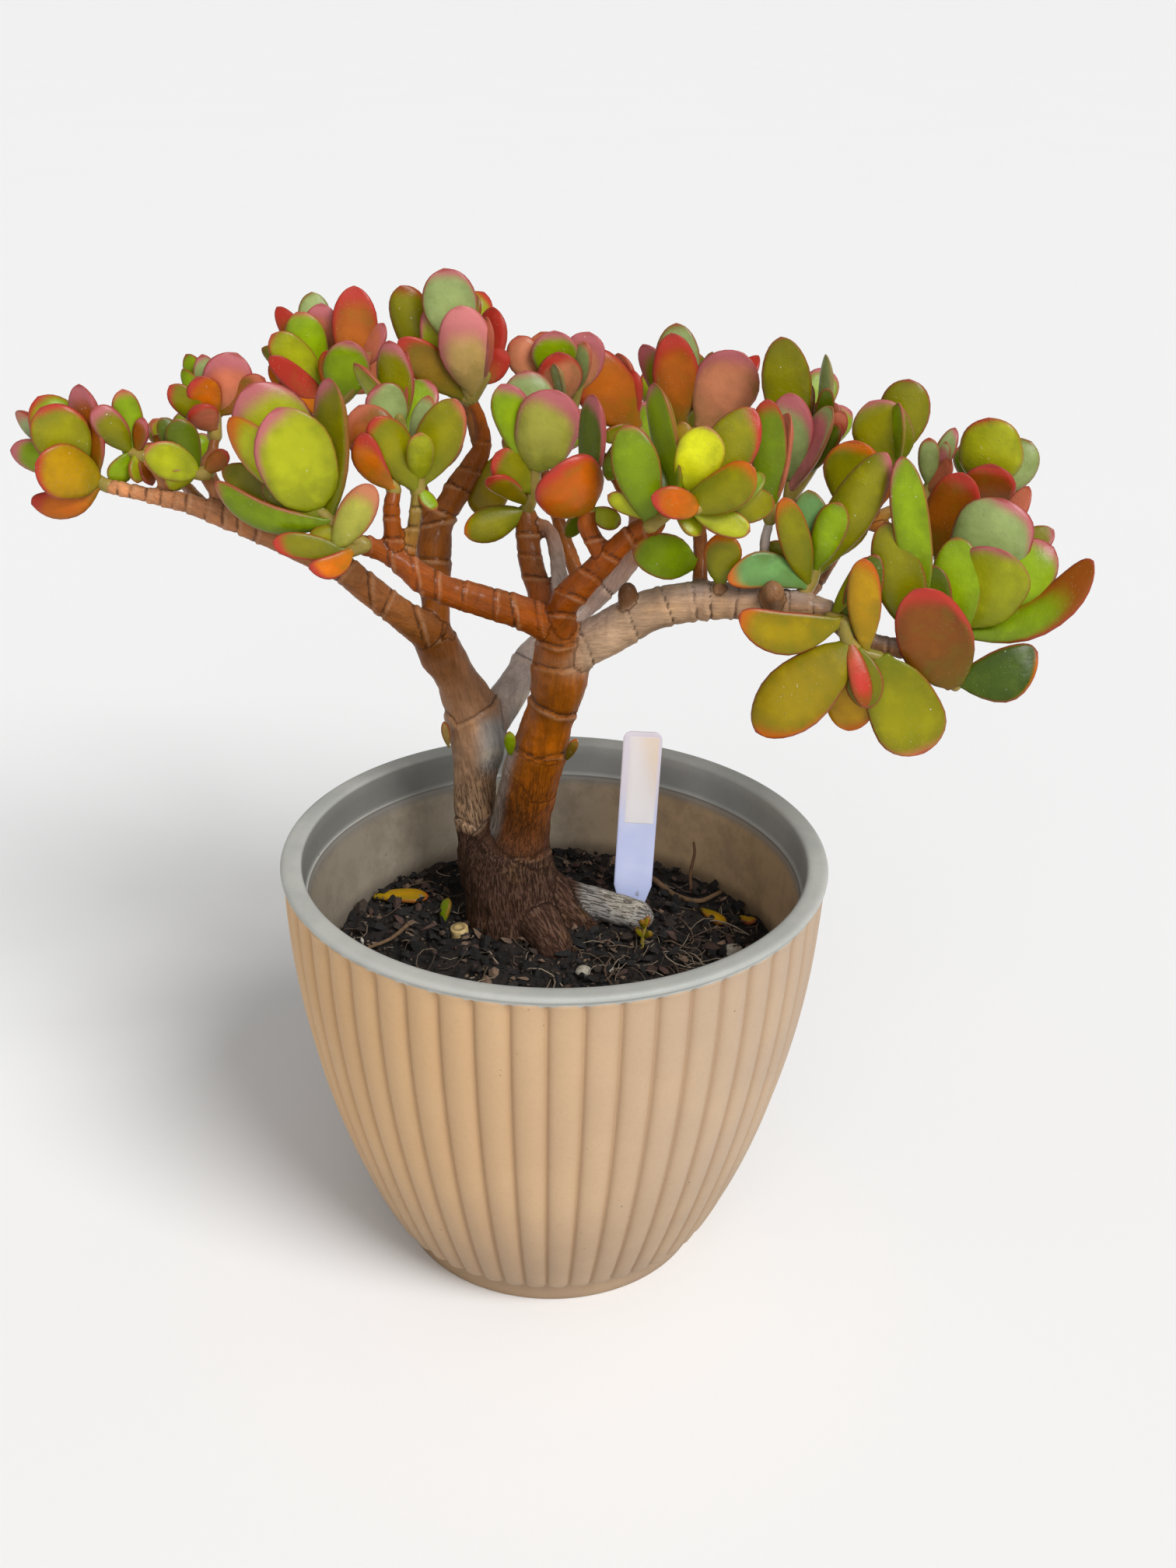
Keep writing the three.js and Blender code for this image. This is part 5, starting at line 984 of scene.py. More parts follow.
# painted reflection: faces turned up are paled towards grey, strongly on the right limb and faintly
# elsewhere, in place of the sky's reflection
paintedSkyReflection = ease(0.2, 0.9, no[:, 2]) * np.where(limbOf == rightLimb, 0.65, 0.08) * (limbOf >= leftTrunk)
tint = tint * (1 - paintedSkyReflection[:, None]) + linear(woodLook["topBark"]) * paintedSkyReflection[:, None]
tint = tint * (0.9 + 0.2 * grain(co, 16, 21))[:, None]
way = np.array([unit(line[-1] - line[0]) for _, _, line, _ in woodLines])[limbOf]
# coordinates for streaks: the part along the limb is shortened to about an eighth
alongPart = np.einsum("nc,nc->n", co, way)[:, None] * way
streaks = (co - alongPart * 0.88) * 0.001
addAttribute(woodMesh, "barkTint", "FLOAT_COLOR", np.hstack([tint, np.ones((count, 1))]))
addAttribute(woodMesh, "barkPlace", "FLOAT_VECTOR", np.column_stack([ridge, old, stool]))
addAttribute(woodMesh, "barkGrain", "FLOAT_VECTOR", streaks)
addPiece("wood_grown", woodMesh, barkFinish, "bark", "trunk_and_branches")
print("wood made")

# Pot

potLook = {
    "height": 170, "foot": 60.2, "spread": 43.8, "bend": 1.02, "steepness": 0.71,
    "band": 62.3, "bandTop": 9.2, "aboveBand": 61.8, "wallStart": 12.5, "wallEnd": 166.7,
    "collar": 104.0, "underLip": 0.9, "flutes": 50, "depth": 2.1, "scallop": 1.3,
    "phases": (0, 0.03, 0.07, 0.13, 0.22, 0.35, 0.5, 0.65, 0.78, 0.87, 0.93, 0.97),
}


def wallRadius(z):
    # r = foot + spread sin(90 degrees (z / height)^bend)^steepness: steep at the rim, drawn in below
    risen = np.sin(np.pi / 2 * (np.maximum(z, 0) / potLook["height"]) ** potLook["bend"])
    return potLook["foot"] + potLook["spread"] * risen ** potLook["steepness"]


def potPaint(start, at):
    # tan ribbed wall, lighter and warmer on the left as painted light, with painted shade at the foot and
    # in the grooves; grey lip with a scalloped lower edge; stained inside, with painted shade on its left,
    # on the rim's inner face and at the ledge; specks and smears
    info = start.attribute("potPlace")
    lip, inside, band = info.part(0), info.part(1), info.part(2)
    patch = start.noise(at, 22, 4, 0.55)
    fine = start.noise(at, 650, 3, 0.6)
    sideways, height = at.part(0), at.part(2)
    groove = start.attribute("potGroove", "Fac")
    # painted light: the wall lighter and warmer on the left, darker and greyer on the right
    wall = start.blend(sideways.rise(-0.1, 0.1), colour((204, 162, 112)), colour((180, 156, 132)))
    # painted shade: darker towards the foot
    wall = start.blend(height.rise(0.09, 0.008) * 0.6, wall, colour((126, 107, 88)))
    wall = start.blend(patch.rise(0.4, 0.7) * 0.2, wall, colour((218, 184, 140)))
    # painted shade in the grooves between the ribs
    wall = start.blend(groove.rise(0.05, 0.85) * 0.36, wall, colour((154, 118, 82)))
    wall = start.blend(start.noise(at, 55, 5, 0.7).rise(0.55, 0.75) * 0.2, wall, colour((176, 146, 118)))
    grey = start.blend(patch.rise(0.35, 0.65), colour((166, 168, 163)), colour((184, 184, 178)))
    cloud = start.noise(at, 60, 5, 0.7)
    stainAndShade = start.blend(sideways.rise(-0.02, 0.06), colour((182, 170, 150)), colour((206, 174, 132)))
    stainAndShade = start.blend(cloud.rise(0.42, 0.66) * 0.35, stainAndShade, colour((112, 98, 84)))
    stainAndShade = start.blend(height.rise(0.128, 0.119) * 0.7, stainAndShade, colour((66, 52, 42)))
    stainAndShade = start.blend(height.rise(0.150, 0.155) * 0.8, stainAndShade, colour((140, 141, 138)))
    # painted shade: darker on the left of the inside
    stainAndShade = start.blend(sideways.rise(-0.06, -0.085) * 0.5, stainAndShade, colour((100, 94, 84)))
    # painted shade along the ledge, whose upper face would catch the light
    ledgeShade = height.rise(0.1545, 0.1552) * height.rise(0.1564, 0.1558)
    stainAndShade = start.blend(ledgeShade * 0.6, stainAndShade, colour((98, 92, 84)))
    shown = start.blend(lip.rise(0.35, 0.65), wall, grey)
    # painted shade on the rim's inner face, darker on its left
    shown = start.blend(band * sideways.rise(-0.02, -0.085) * 0.6, shown, colour((84, 82, 77)))
    shown = start.blend(inside.rise(0.35, 0.65), shown, stainAndShade)
    dark = start.specks(at, 190, 0.1) * start.noise(at, 30, 2).rise(0.54, 0.66)
    shown = start.blend(dark * 0.7, shown, colour((92, 72, 56)))
    chips = start.specks(at, 95, 0.05) * start.noise(at, 18, 2).rise(0.58, 0.68)
    shown = start.blend(chips, shown, colour((236, 230, 218)))
    shown = start.blend(fine.rise(0.4, 0.8) * 0.08, shown, colour((140, 118, 98)))
    rough, bump = 0.46 + 0.2 * fine, fine * 0.5 + patch * 0.4
    return {"Base Color": shown, "Roughness": rough, "Specular IOR Level": 0.45}, bump, 0.0001


# the heights of the wall's rings: foot band, wall, and the plain collar under the lip
bandHeights = [0, 0.5, 4, 8.2, 9.0, 9.4, 10.6, 12.5]
collarHeights = [162.5, 164.2, 165.2, 166, 166.8, 167.6]
z = np.concatenate([bandHeights, np.linspace(15, 160, 30), collarHeights])
bandTop, wallStart, aboveBand = potLook["bandTop"], potLook["wallStart"], potLook["aboveBand"]
radius = np.where(z < bandTop, potLook["band"], wallRadius(np.maximum(z, wallStart)))
rising = aboveBand + (wallRadius(wallStart) - aboveBand) * (z - 9.4) / 3.1
radius = np.where((z > bandTop) & (z < wallStart), rising, radius)
radius[0], radius[3] = 61.6, 62.2
radius = np.where(z > 163, potLook["collar"] + 0.7 * ease(163, 167.6, z), radius)
ribbed = ease(bandTop, 12, z) * ease(168.2, 166.4, z)
phase = (np.arange(potLook["flutes"])[:, None] + np.array(potLook["phases"])[None]).ravel()
angle = phase * 2 * np.pi / potLook["flutes"]
inPhase = np.abs(phase - np.round(phase))
# each rib is rounded as x^2 from its crown, and the groove between two is cut a little deeper
groove = 0.72 * (1 - 2 * inPhase) ** 2 + 0.28 * np.exp(-((inPhase / 0.07) ** 2))
endOf = potLook["wallEnd"] - potLook["scallop"] * (1 - ease(0, 0.4, inPhase))
wall = radius[:, None] - potLook["depth"] * ribbed[:, None] * groove[None]
rise = ease(endOf[None] + 0.5, endOf[None] - 0.5, z[:, None])
fluted = radius[:, None] - potLook["depth"] * groove[None]
plain = radius[:, None] - potLook["underLip"]
wall = np.where(z[:, None] > 160, fluted * rise + plain * (1 - rise), wall)
lipProfile = [(104.9, 167.9), (105.0, 168.6), (104.7, 169.4), (103.9, 169.9), (102.6, 170.0),
              (100.0, 170.0), (98.4, 169.9), (97.3, 169.4), (96.8, 168.5), (96.6, 164), (96.4, 157),
              (96.3, 155.8), (95.6, 155.5), (95.0, 155.0), (94.7, 153), (94.0, 147), (92.9, 136),
              (91.9, 122), (91.8, 121), (86, 92), (80, 64), (70, 32), (57, 10), (30, 10)]
rows = [np.column_stack([wall[k], np.full(len(angle), z[k])]) for k in range(len(z))]
for r, h in lipProfile:
    rows.append(np.column_stack([np.full(len(angle), r), np.full(len(angle), h)]))
profile = np.array(rows)
rings = np.stack([profile[..., 0] * np.sin(angle), -profile[..., 0] * np.cos(angle), profile[..., 1]],
                 axis=-1)
points, quads, tris = closedRings(rings)
# where the lip and the inside are, and the rim's inner face that takes painted shade, for the material
lipMask = ease(-0.3, 0.3, profile[..., 1] - endOf[None] + 0.1)
lipMask[len(z):] = 1
insideMask = np.zeros_like(lipMask)
insideMask[len(z) + 13:] = 1
insideMask[len(z) + 12] = 0.4
rimShadeMask = np.zeros_like(lipMask)
rimShadeMask[len(z) + 8:len(z) + 12] = 1
masks = np.column_stack([lipMask.ravel(), insideMask.ravel(), rimShadeMask.ravel()])
mesh = meshFrom("fluted_pot", points, quads, tris)
addAttribute(mesh, "potPlace", "FLOAT_VECTOR", np.vstack([masks, [[0, 0, 0]], [[0, 1, 0]]]))
grooveMask = np.zeros_like(lipMask)
grooveMask[: len(z)] = groove[None] * ribbed[:, None]
addAttribute(mesh, "potGroove", "FLOAT", np.concatenate([grooveMask.ravel(), [0, 0]]))
addPiece("fluted_pot", mesh, finish("potPlastic", potPaint), "pot", "pot")
print("pot made")

# Soil

soilLook = {"level": 120, "chips": 1900, "crumbs": 2200, "fibres": 230, "perlite": 30, "seed": 7,
            "spreadTo": 89.0, "sink": 0.25}


def soilHeight(x, y):
    # level + 1.1 crossed waves of x and y + a low bell-shaped mound round the stool
    lumps = np.sin(x * 0.13 + 1) * np.cos(y * 0.17) + 0.6 * np.sin(x * 0.31 + y * 0.27)
    return soilLook["level"] + 1.1 * lumps + 3 * np.exp(-((x + 14) ** 2 + (y - 28) ** 2) / 1400)


def soilPaint(start, at):
    # near-black crumbs with lighter bark and pale grit
    patch = start.noise(at, 160, 5, 0.7)
    fine = start.noise(at, 800, 4, 0.7)
    shown = start.blend(patch.rise(0.35, 0.7), colour((12, 9, 8)), colour((40, 30, 23)))
    shown = start.blend(fine.rise(0.6, 0.75) * 0.4, shown, colour((80, 62, 46)))
    shown = start.blend(start.specks(at, 300, 0.08) * 0.6, shown, colour((150, 132, 106)))
    return {"Base Color": shown, "Roughness": 0.85 + 0.1 * fine}, patch + fine, 0.0012


def chipPaint(start, at):
    # each chip's own tint, darker in patches
    tint = start.attribute("chipTint", "Color")
    patch = start.noise(at, 420, 4, 0.65)
    shown = start.blend(patch.rise(0.35, 0.7) * 0.7, tint, start.blend(0.6, tint, (0.004, 0.003, 0.002, 1)))
    return {"Base Color": shown, "Roughness": 0.8 + 0.15 * patch}, patch, 0.0006


r = np.concatenate([np.linspace(1.2, 90, 96), [91.0]])
q = 2 * np.pi * np.arange(300) / 300
x, y = r[:, None] * np.sin(q), -r[:, None] * np.cos(q)
flatPoints = np.stack([x, y, 0 * x], axis=-1).reshape(-1, 3)
bumpy = 1.4 * grain(flatPoints, 9, 31) + 1.3 * grain(flatPoints, 4, 32) + 0.7 * grain(flatPoints, 1.9, 33)
top = np.stack([x, y, soilHeight(x, y) + bumpy.reshape(x.shape) - 0.4], axis=-1)
sideRings = [(90.6, 117), (79.6, 64.4), (69.6, 32.4), (56.6, 10.4)]
sides = np.array([np.stack([a * np.sin(q), -a * np.cos(q), 0 * q + b], axis=-1) for a, b in sideRings])
points, quads, tris = closedRings(np.concatenate([sides[::-1], top[::-1]]))
mesh = meshFrom("bark_compost", points, quads, tris)
addPiece("bark_compost", mesh, finish("compost", soilPaint), "soil", "soil")

chance = np.random.default_rng(soilLook["seed"])


def crumbCloud(count, small, large, flat, tints):
    # octahedral chips: corner k = centre + R (size_k e_k), with uneven half sizes
    r = soilLook["spreadTo"] * np.sqrt(chance.random(count))
    q = chance.random(count) * 2 * np.pi
    x, y = r * np.sin(q), -r * np.cos(q)
    size = small + (large - small) * chance.random(count) ** 2.2
    middle = np.stack([x, y, soilHeight(x, y) + size * soilLook["sink"] + 0.8], axis=-1)
    shape = size[:, None] * np.stack([0.7 + 0.6 * chance.random(count), 0.45 + 0.4 * chance.random(count),
                                      flat * (0.6 + 0.8 * chance.random(count))], axis=-1) * 0.62
    turn = chance.random(count) * 2 * np.pi
    tilt = (chance.random(count) - 0.5) * 1.5
    base = np.array([[1, 0, 0], [0.3, 0.9, 0.2], [-0.6, 0.75, -0.1], [-1, -0.1, 0.1], [-0.35, -0.9, 0],
                     [0.55, -0.8, -0.15], [0.35, 0.2, 0.95], [-0.4, -0.1, 0.9], [0.2, -0.15, -1]])
    faces = np.array([[0, 1, 6], [1, 2, 6], [2, 7, 6], [2, 3, 7], [3, 4, 7], [4, 5, 7], [5, 6, 7],
                      [5, 0, 6], [1, 0, 8], [2, 1, 8], [3, 2, 8], [4, 3, 8], [5, 4, 8], [0, 5, 8]])
    jitter = 1 + 0.25 * (chance.random((count, len(base), 1)) - 0.5)
    local = base[None] * jitter * shape[:, None]
    lx = local[..., 0] * np.cos(tilt)[:, None] - local[..., 2] * np.sin(tilt)[:, None]
    lz = local[..., 0] * np.sin(tilt)[:, None] + local[..., 2] * np.cos(tilt)[:, None]
    ly = local[..., 1]
    c, s = np.cos(turn)[:, None], np.sin(turn)[:, None]
    points = np.stack([lx * c - ly * s, lx * s + ly * c, lz], axis=-1) + middle[:, None]
    tris = faces[None] + (np.arange(count) * len(base))[:, None, None]
    shade = linear(tints)[chance.integers(0, len(tints), count)] * (0.6 + 0.8 * chance.random((count, 1)))
    return points.reshape(-1, 3), tris.reshape(-1, 3), np.repeat(shade, len(base), axis=0)


barkShades = [(28, 22, 18), (20, 16, 14), (14, 12, 11), (50, 38, 30), (10, 9, 8), (112, 90, 72),
              (16, 14, 13), (72, 50, 42)]
clouds = [crumbCloud(soilLook["chips"], 1.2, 5.6, 0.5, barkShades),
          crumbCloud(soilLook["crumbs"], 0.6, 1.6, 0.8, barkShades + [(120, 98, 74)]),
          crumbCloud(soilLook["perlite"], 1.2, 3.0, 0.9, [(206, 200, 188), (180, 172, 158)])]
points, quads, tris = gather([(p, np.zeros((0, 4), int), t) for p, t, _ in clouds])
mesh = meshFrom("soil_chips", points, quads, tris, smooth=False)
chipShades = np.vstack([s for _, _, s in clouds])
addAttribute(mesh, "chipTint", "FLOAT_COLOR", np.hstack([chipShades, np.ones((len(points), 1))]))
chipFinish = finish("chips", chipPaint)
addPiece("soil_chips", mesh, chipFinish, "soil", "soil")

# Roots and twigs on the soil: the points (x, y, rise over the soil), the radius and the colour.
layingTwigs = [
    ([(41, 62, 3), (50, 50, 2.6), (60, 44, 2.8), (69, 50, 3.4)], 1.3, (116, 88, 60)),
    ([(57, 55, 1), (56.5, 57, 9), (58, 59, 17), (57.5, 60, 22)], 0.8, (104, 74, 48)),
    ([(-60, 20, 2), (-66, 8, 2.6), (-75, 2, 2)], 0.9, (110, 84, 58)),
    ([(-20, -52, 2.2), (-8, -58, 3), (6, -55, 2)], 0.9, (96, 72, 50)),
    ([(30, -30, 2), (44, -26, 2.8), (52, -18, 2)], 0.7, (128, 100, 70)),
]
fibreShades = [(86, 66, 50), (58, 46, 38), (120, 104, 86), (98, 80, 62), (148, 132, 112)]
parts, shades = [], []
for k in range(soilLook["fibres"]):
    r, q = 86 * chance.random() ** 0.5, chance.random() * 6.28
    turn, length = chance.random() * 6.28, 4 + 15 * chance.random()
    if k % 3 == 0:  # a third of them lie on the right
        q = 1.1 + 0.9 * chance.random()
    s = np.linspace(-0.5, 0.5, 6)
    curl = 1 + 2.5 * chance.random()
    x = r * math.sin(q) + s * length * math.cos(turn) + curl * np.sin(s * 4 + k)
    y = -r * math.cos(q) + s * length * math.sin(turn) + curl * np.cos(s * 3 + k)
    inside = np.hypot(x, y) < 89
    if not inside.all():
        continue
    line = np.stack([x, y, soilHeight(x, y) + 1.9 + 1.2 * np.cos(s * 5 + k)], axis=-1)
    made = tube(line, np.full(6, 0.16 + 0.24 * chance.random() ** 2), 5, roundEnd=False)
    parts.append(made)
    shades.append(np.repeat(linear(fibreShades[k % 5])[None], len(made[0]), axis=0))
for line, radius, tone in layingTwigs:
    line = np.array(line, float)
    line[:, 2] += soilHeight(line[:, 0], line[:, 1])
    made = tube(*smoothLine(line, np.linspace(radius, radius * 0.7, len(line)), 2), 9)
    parts.append(made)
    shades.append(np.repeat(linear(tone)[None], len(made[0]), axis=0))
points, quads, tris = gather(parts)
mesh = meshFrom("soil_fibres", points, quads, tris)
addAttribute(mesh, "chipTint", "FLOAT_COLOR", np.hstack([np.vstack(shades), np.ones((len(points), 1))]))
addPiece("soil_fibres", mesh, chipFinish, "soil", "soil")
print("soil made")

# Label stake

stakeLook = {"width": 15.8, "thickness": 1.2, "paperWidth": 11.8, "paperHalfLength": 0.238,
             "paperAt": 0.735, "paperAside": 0.7, "glow": 0.28}


def stakePaint(start, at):
    # lilac plastic, whiter at the top, darker low down as painted shade, earthy at the foot, with a cream
    # paper patch, and a painted glow of its own colour
    info = start.attribute("stakePlace")
    patch = start.noise(at, 60, 4, 0.6)
    shown = start.blend(patch.rise(0.35, 0.7), colour((206, 213, 250)), colour((214, 220, 252)))
    shown = start.blend(at.part(2).rise(0.155, 0.178), shown, colour((240, 230, 240)))
    # painted shade: darker lower down, towards the soil
    shown = start.blend(at.part(2).rise(0.140, 0.122) * 0.55, shown, colour((150, 164, 206)))
    paper = start.blend(info.part(2) * 0.6, colour((248, 243, 242)), colour((250, 218, 180)))
    shown = start.blend(info.part(0), shown, paper)
    dirt = start.noise(at, 190, 4, 0.7).rise(0.58, 0.72) * info.part(1)
    shown = start.blend(dirt * 0.7, shown, colour((96, 80, 66)))
    # painted light: the stake and its paper glow with their own colour
    return {"Base Color": shown, "Roughness": 0.42 + 0.2 * patch, "Subsurface Weight": 0.05,
            "Emission Color": shown, "Emission Strength": stakeLook["glow"]}, patch, 0.00008


low = place(17.3, -50, 43)[0]
high = place(22.3, 21, 47)[0]
way = unit(high - low)
side = unit(np.array([1.0, 0, 0]) - way * way[0])
face = np.cross(side, way)
half = stakeLook["width"] / 2
length = np.linalg.norm(high - low)
# rings along the stake: a point in the soil, straight sides and rounded top corners
topSteps = [length - 1.6, length - 0.7, length - 0.15]
v = np.concatenate([[-14, -8, 0, 6, 11], np.linspace(16, length - 3, 14), topSteps])
wideAt = [-14, 0, 11, length - 3, *topSteps]
wide = np.interp(v, wideAt, [2, 4.6, half, half, half - 0.4, half - 1.3, half - 2.6])
u = np.array([-1, -0.98, -0.9, -0.5, 0, 0.5, 0.9, 0.98, 1, 0.98, 0.9, 0.5, 0, -0.5, -0.9, -0.98])
d = np.array([0, 0.35, 0.5, 0.5, 0.5, 0.5, 0.5, 0.35, 0, -0.35, -0.5, -0.5, -0.5, -0.5, -0.5, -0.35])
d = d * stakeLook["thickness"]
rings = low + way * v[:, None, None] + side * (wide[:, None] * u)[..., None]
rings = rings + face * d[None, :, None]
points, quads, tris = closedRings(rings)
if np.dot(np.cross(side, face), way) < 0:
    quads, tris = quads[:, ::-1], tris[:, ::-1]
mesh = meshFrom("plant_label", points, quads, tris)
zone = np.zeros((len(points), 3))
zone[: len(v) * len(u), 1] = np.repeat(ease(22, 4, v), len(u))
addAttribute(mesh, "stakePlace", "FLOAT_VECTOR", zone)
stakeFinish = finish("labelPlastic", stakePaint)
addPiece("plant_label", mesh, stakeFinish, "label", "label_stake")
# the blank paper patch on the label
edgeSteps = [(-1, -1), (-0.5, -1), (0, -1), (0.5, -1)]
quarterTurns = [(1, 0), (0, 1), (-1, 0), (0, -1)]
outline = np.array([(x * c - y * s, x * s + y * c) for c, s in quarterTurns for x, y in edgeSteps], float)
centre = low + way * (length * stakeLook["paperAt"]) + side * stakeLook["paperAside"]
paperHalf = length * stakeLook["paperHalfLength"]
layers = []
for lift, grow in ((0.5, 1.0), (0.56, 1.0), (0.62, 0.985), (0.63, 0.6), (0.63, 0.2)):
    plate = outline * grow
    flatPart = side * (plate[:, :1] * stakeLook["paperWidth"] / 2) + way * (plate[:, 1:] * paperHalf)
    layers.append(centre + flatPart + face * stakeLook["thickness"] * lift)
points, quads, tris = closedRings(np.array(layers))
if np.dot(np.cross(side, way), face) < 0:
    quads, tris = quads[:, ::-1], tris[:, ::-1]
mesh = meshFrom("label_paper", points, quads, tris)
fromCentre = points - centre
zone = np.ones((len(points), 3))
zone[:, 1] = 0
# the paper is yellowed towards its top right corner
zone[:, 2] = ease(-0.6, 1.0, (fromCentre @ side) / 6 + (fromCentre @ way) / paperHalf - 0.5)
addAttribute(mesh, "stakePlace", "FLOAT_VECTOR", zone)
addPiece("label_paper", mesh, stakeFinish, "label", "label_stake")
print("label made")

# Small things


def smallLeaves(name, entries, stems):
    # entries: root, tip, width, roll in degrees, colour code, in real mm
    roots, tips, widths, rolls, codes = zip(*entries)
    leafPiece(name, roots, tips, widths, rolls, [0] * len(codes), codes, 400 + len(name), stems)


# buds in the bark: a and b of root and tip, width, depth, colour code
for name, a0, b0, a1, b1, width, y, code in [
        ("bud_trunk_front", -31, 12, -31.5, 21, 4.5, 7, "gn1"),
        ("bud_trunk_left", -56, 15, -57.8, 25, 3.6, 30, "sn1"),
        ("bud_trunk_right", -8.5, 10, -4.5, 18, 3.8, 9, "nO2")]:
    smallLeaves(name, [(place(a0, b0, y + 4)[0], place(a1, b1, y - 1)[0], width, 11.5, code)], [])
sproutPlace = [34.5, 9]
foot = np.array([*sproutPlace, soilHeight(*sproutPlace) - 7])
top = foot + np.array([1.5, 1, 16])
# the way each of its leaves points, and how far up the stem it starts
sproutSteps = [(3.2, -2, 3.5, 0.7), (-2.8, 1.4, 4, 0.7), (1.6, 2, 4.5, 0.96), (-1.4, -2, 4.8, 0.96)]
sproutLeaves = []
for dx, dy, dz, share in sproutSteps:
    root = foot + (top - foot) * share
    sproutLeaves.append((root, root + np.array([dx, dy, dz]), 2.8, 11.5, "og1"))
smallLeaves("sprout", sproutLeaves, [(np.array([foot, top]), np.array([1.1, 0.9]))])
# leaves that have dropped on the soil: x and y of root and tip, width, rise of the tip, colour code
for name, x0, y0, x1, y1, width, rise, code in [
        ("dropped_leaf", -77, 45, -54, 44, 9, 0, "wO2"),
        ("dropped_leaf_small", -46.5, 25, -44.5, 31, 6, 6, "gg1"),
        ("dropped_leaf_right", 61, 41, 69.5, 27, 7, 1, "wn2"),
        ("dropped_leaf_right_end", 77, 36, 82, 28, 5.5, 1, "wn3")]:
    root = np.array([x0, y0, soilHeight(x0, y0) + 0.5])
    tip = np.array([x1, y1, soilHeight(x1, y1) + 0.5 + rise])
    smallLeaves(name, [(root, tip, width, 51.6, code)], [])


def stonePaint(start, at):
    # grey-brown with dark grains
    patch = start.noise(at, 320, 5, 0.65)
    shown = start.blend(patch.rise(0.35, 0.7), colour((128, 122, 108)), colour((178, 172, 156)))
    shown = start.blend(start.specks(at, 900, 0.2) * 0.5, shown, colour((60, 54, 48)))
    return {"Base Color": shown, "Roughness": 0.75 + 0.2 * patch}, patch, 0.0006


def stubPaint(start, at):
    # dry wood with a darker ring on its cut end
    patch = start.noise(at, 500, 5, 0.65)
    rings = start.attribute("stubPlace").part(0)
    shown = start.blend(patch.rise(0.35, 0.7), colour((176, 148, 92)), colour((206, 182, 128)))
    shown = start.blend(rings * 0.8, shown, colour((120, 96, 60)))
    return {"Base Color": shown, "Roughness": 0.75 + 0.15 * patch}, patch + rings, 0.0005


stoneFinish = finish("stone", stonePaint)
for name, x, y, size in [("stone_right", 71.5, 8, 8), ("stone_front", 11.7, -11, 6)]:
    # a pebble: r = size/2 (1 + noise) with a flattened upright axis
    fromTop = np.linspace(0.12, math.pi - 0.12, 10)[::-1]
    q, p = np.meshgrid(fromTop, 2 * np.pi * np.arange(18) / 18, indexing="ij")
    ball = np.stack([np.sin(q) * np.cos(p), np.sin(q) * np.sin(p), np.cos(q)], axis=-1)
    swell = 1 + 0.12 * grain(ball.reshape(-1, 3) * 4 + x, 2.2, 41).reshape(q.shape)
    rings = ball * swell[..., None] * np.array([1.15, 0.95, 0.7]) * size / 2 * 0.97
    points, quads, tris = closedRings(rings)
    c, s = math.cos(0.6), math.sin(0.6)
    turned = [points[:, 0] * c - points[:, 1] * s, points[:, 0] * s + points[:, 1] * c, points[:, 2]]
    points = np.column_stack(turned) + np.array([x, y, soilHeight(x, y) + size * 0.12])
    addPiece(name + "_pebble", meshFrom(name, points, quads, tris), stoneFinish, "stone", name)

# the cut stub: s and r are places along it and radii, up its side and in over its cut end
stubPlace = [-38, 17.5]
foot = np.array([*stubPlace, soilHeight(*stubPlace) - 13])
way = unit(np.array([-1, -2, 17.0]))
s = np.array([0, 4, 8, 12, 14, 15.5, 16.4, 16.9, 17.1, 17.0, 16.9])
r = np.array([3.8, 3.8, 3.78, 3.74, 3.7, 3.7, 3.66, 3.5, 3.1, 2.2, 1.0])
side = unit(np.cross(way, np.array([0, 1.0, 0])))
other = np.cross(way, side)
q = 2 * np.pi * np.arange(22) / 22
ring = side * np.cos(q)[:, None] + other * np.sin(q)[:, None]
rings = foot + way * s[:, None, None] + ring[None] * r[:, None, None]
points, quads, tris = closedRings(rings)
mesh = meshFrom("cut_stub", points, quads, tris)
zone = np.zeros((len(points), 3))
zone[: len(s) * len(q), 0] = np.repeat((np.abs(r - 2.4) < 0.5) & (s > 16), len(q))
addAttribute(mesh, "stubPlace", "FLOAT_VECTOR", zone)
addPiece("cut_stub_wood", mesh, finish("dryStub", stubPaint), "dead_wood", "cut_stub")
print("small things made")

# Studio

# The key light stands to the right of the plant's front, and a weak fill in front of it: turns and
# heights of their directions in degrees.
studio = {"floor": 30.0, "tone": 0.9, "world": 0.31, "sun": 2.62, "sunSpread": 28, "turn": 42,
          "height": 46, "fill": 0.62, "fillSpread": 60, "fillTurn": 0, "fillHeight": 28, "lens": 40.42}


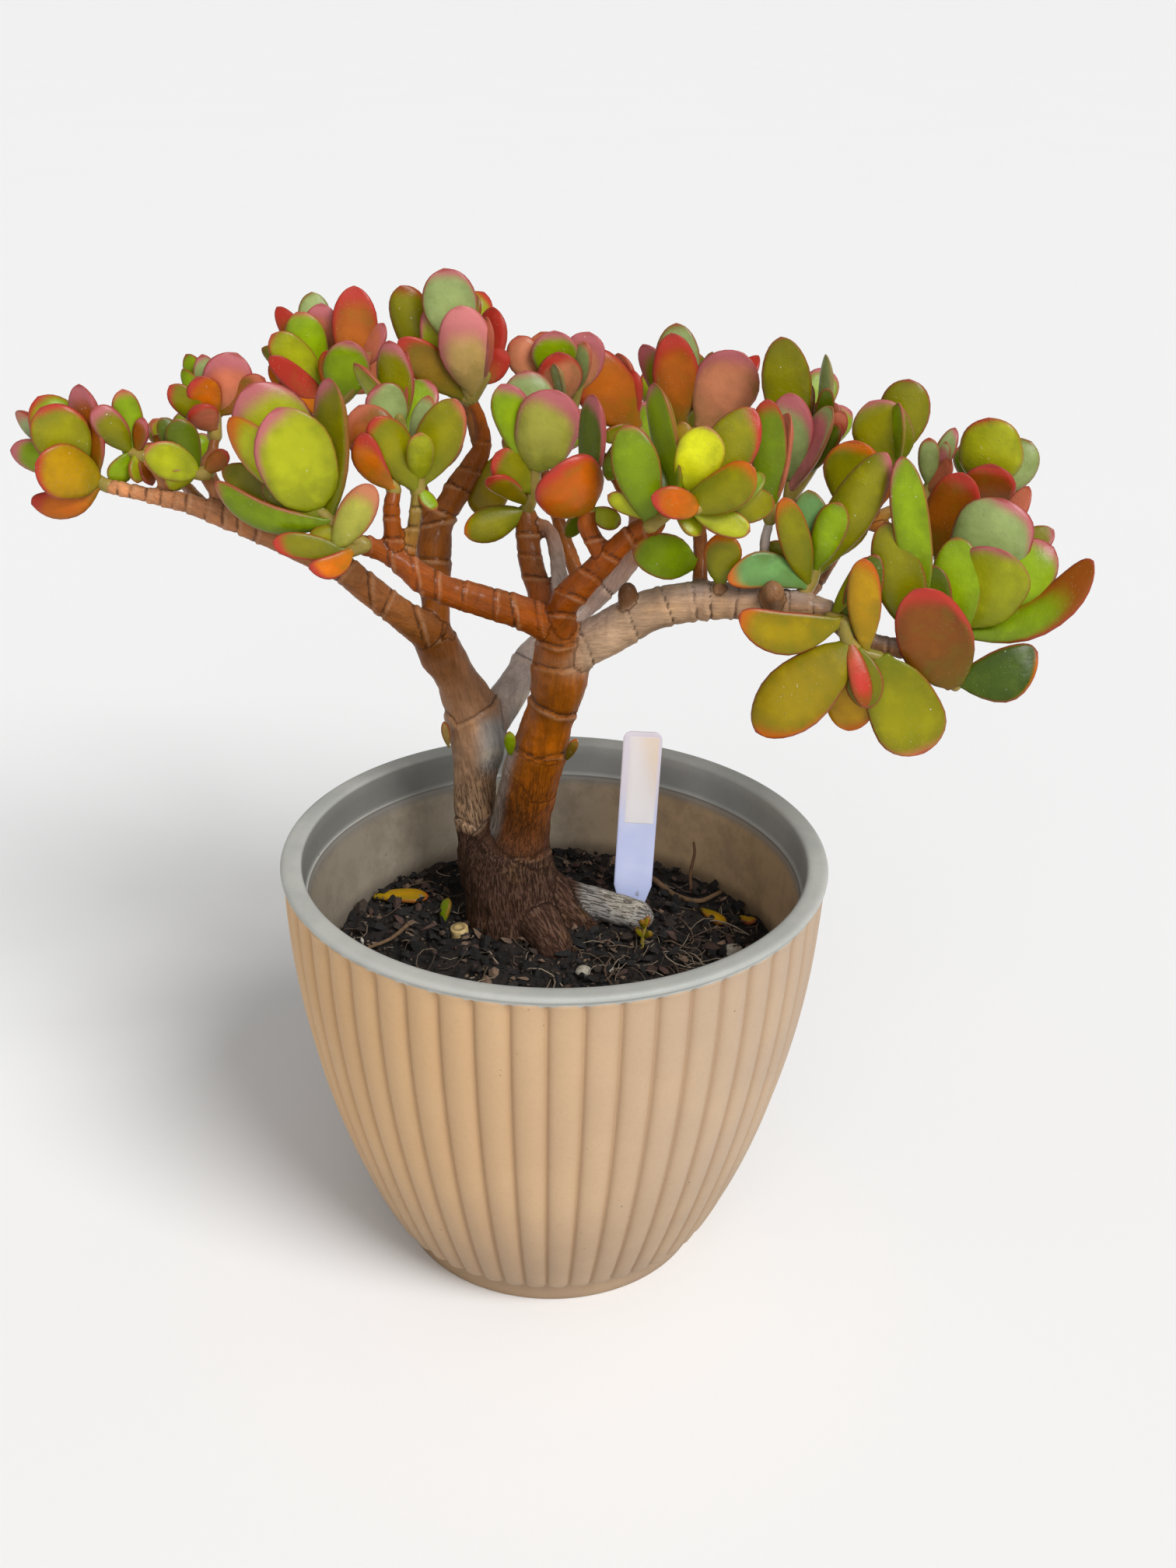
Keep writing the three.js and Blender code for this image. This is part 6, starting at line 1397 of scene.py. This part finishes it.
def floorPaint(start, at):
    # near-white, with a barely seen cloud
    cloud = start.noise(at, 3, 2, 0.5)
    tone = studio["tone"]
    shade = start.blend(cloud.rise(0.3, 0.7), (tone * 0.995,) * 3 + (1,), (tone,) * 3 + (1,))
    return {"Base Color": shade, "Roughness": 0.9, "Specular IOR Level": 0.1}, None, 0


half = studio["floor"] * 1000
floorPoints = np.array([(-half, -half, 0), (half, -half, 0), (half, half, 0), (-half, half, 0)])
floor = bpy.data.objects.new("floor", meshFrom("floor", floorPoints, [[0, 1, 2, 3]], []))
bpy.context.scene.collection.objects.link(floor)
floor.data.materials.append(finish("paleFloor", floorPaint))

world = bpy.data.worlds.new("studio")
world.use_nodes = True
backdrop = world.node_tree.nodes["Background"]
backdrop.inputs["Color"].default_value = (1, 1, 1, 1)
backdrop.inputs["Strength"].default_value = studio["world"]
bpy.context.scene.world = world


def addSun(name, strength, spread, turn, height):
    # the lamp's own +Z points to the light: (cos h sin t, -cos h cos t, sin h)
    light = bpy.data.lights.new(name, "SUN")
    light.energy = strength
    light.angle = math.radians(spread)
    lamp = bpy.data.objects.new(name, light)
    t, h = math.radians(turn), math.radians(height)
    toLight = Vector((math.cos(h) * math.sin(t), -math.cos(h) * math.cos(t), math.sin(h)))
    lamp.rotation_euler = toLight.to_track_quat("Z", "Y").to_euler()
    bpy.context.scene.collection.objects.link(lamp)


addSun("key", studio["sun"], studio["sunSpread"], studio["turn"], studio["height"])
addSun("fill", studio["fill"], studio["fillSpread"], studio["fillTurn"], studio["fillHeight"])

camera = bpy.data.cameras.new("camera")
camera.sensor_width = 36
camera.lens = studio["lens"]
camera.clip_end = 200
viewer = bpy.data.objects.new("camera", camera)
axes = np.array([across, upward, -ahead]).T
viewer.matrix_world = Matrix([[*axes[k], eye[k] * 0.001] for k in range(3)] + [[0, 0, 0, 1]])
bpy.context.scene.collection.objects.link(viewer)
bpy.context.scene.camera = viewer
bpy.context.scene.view_settings.view_transform = "Standard"
print("studio set")
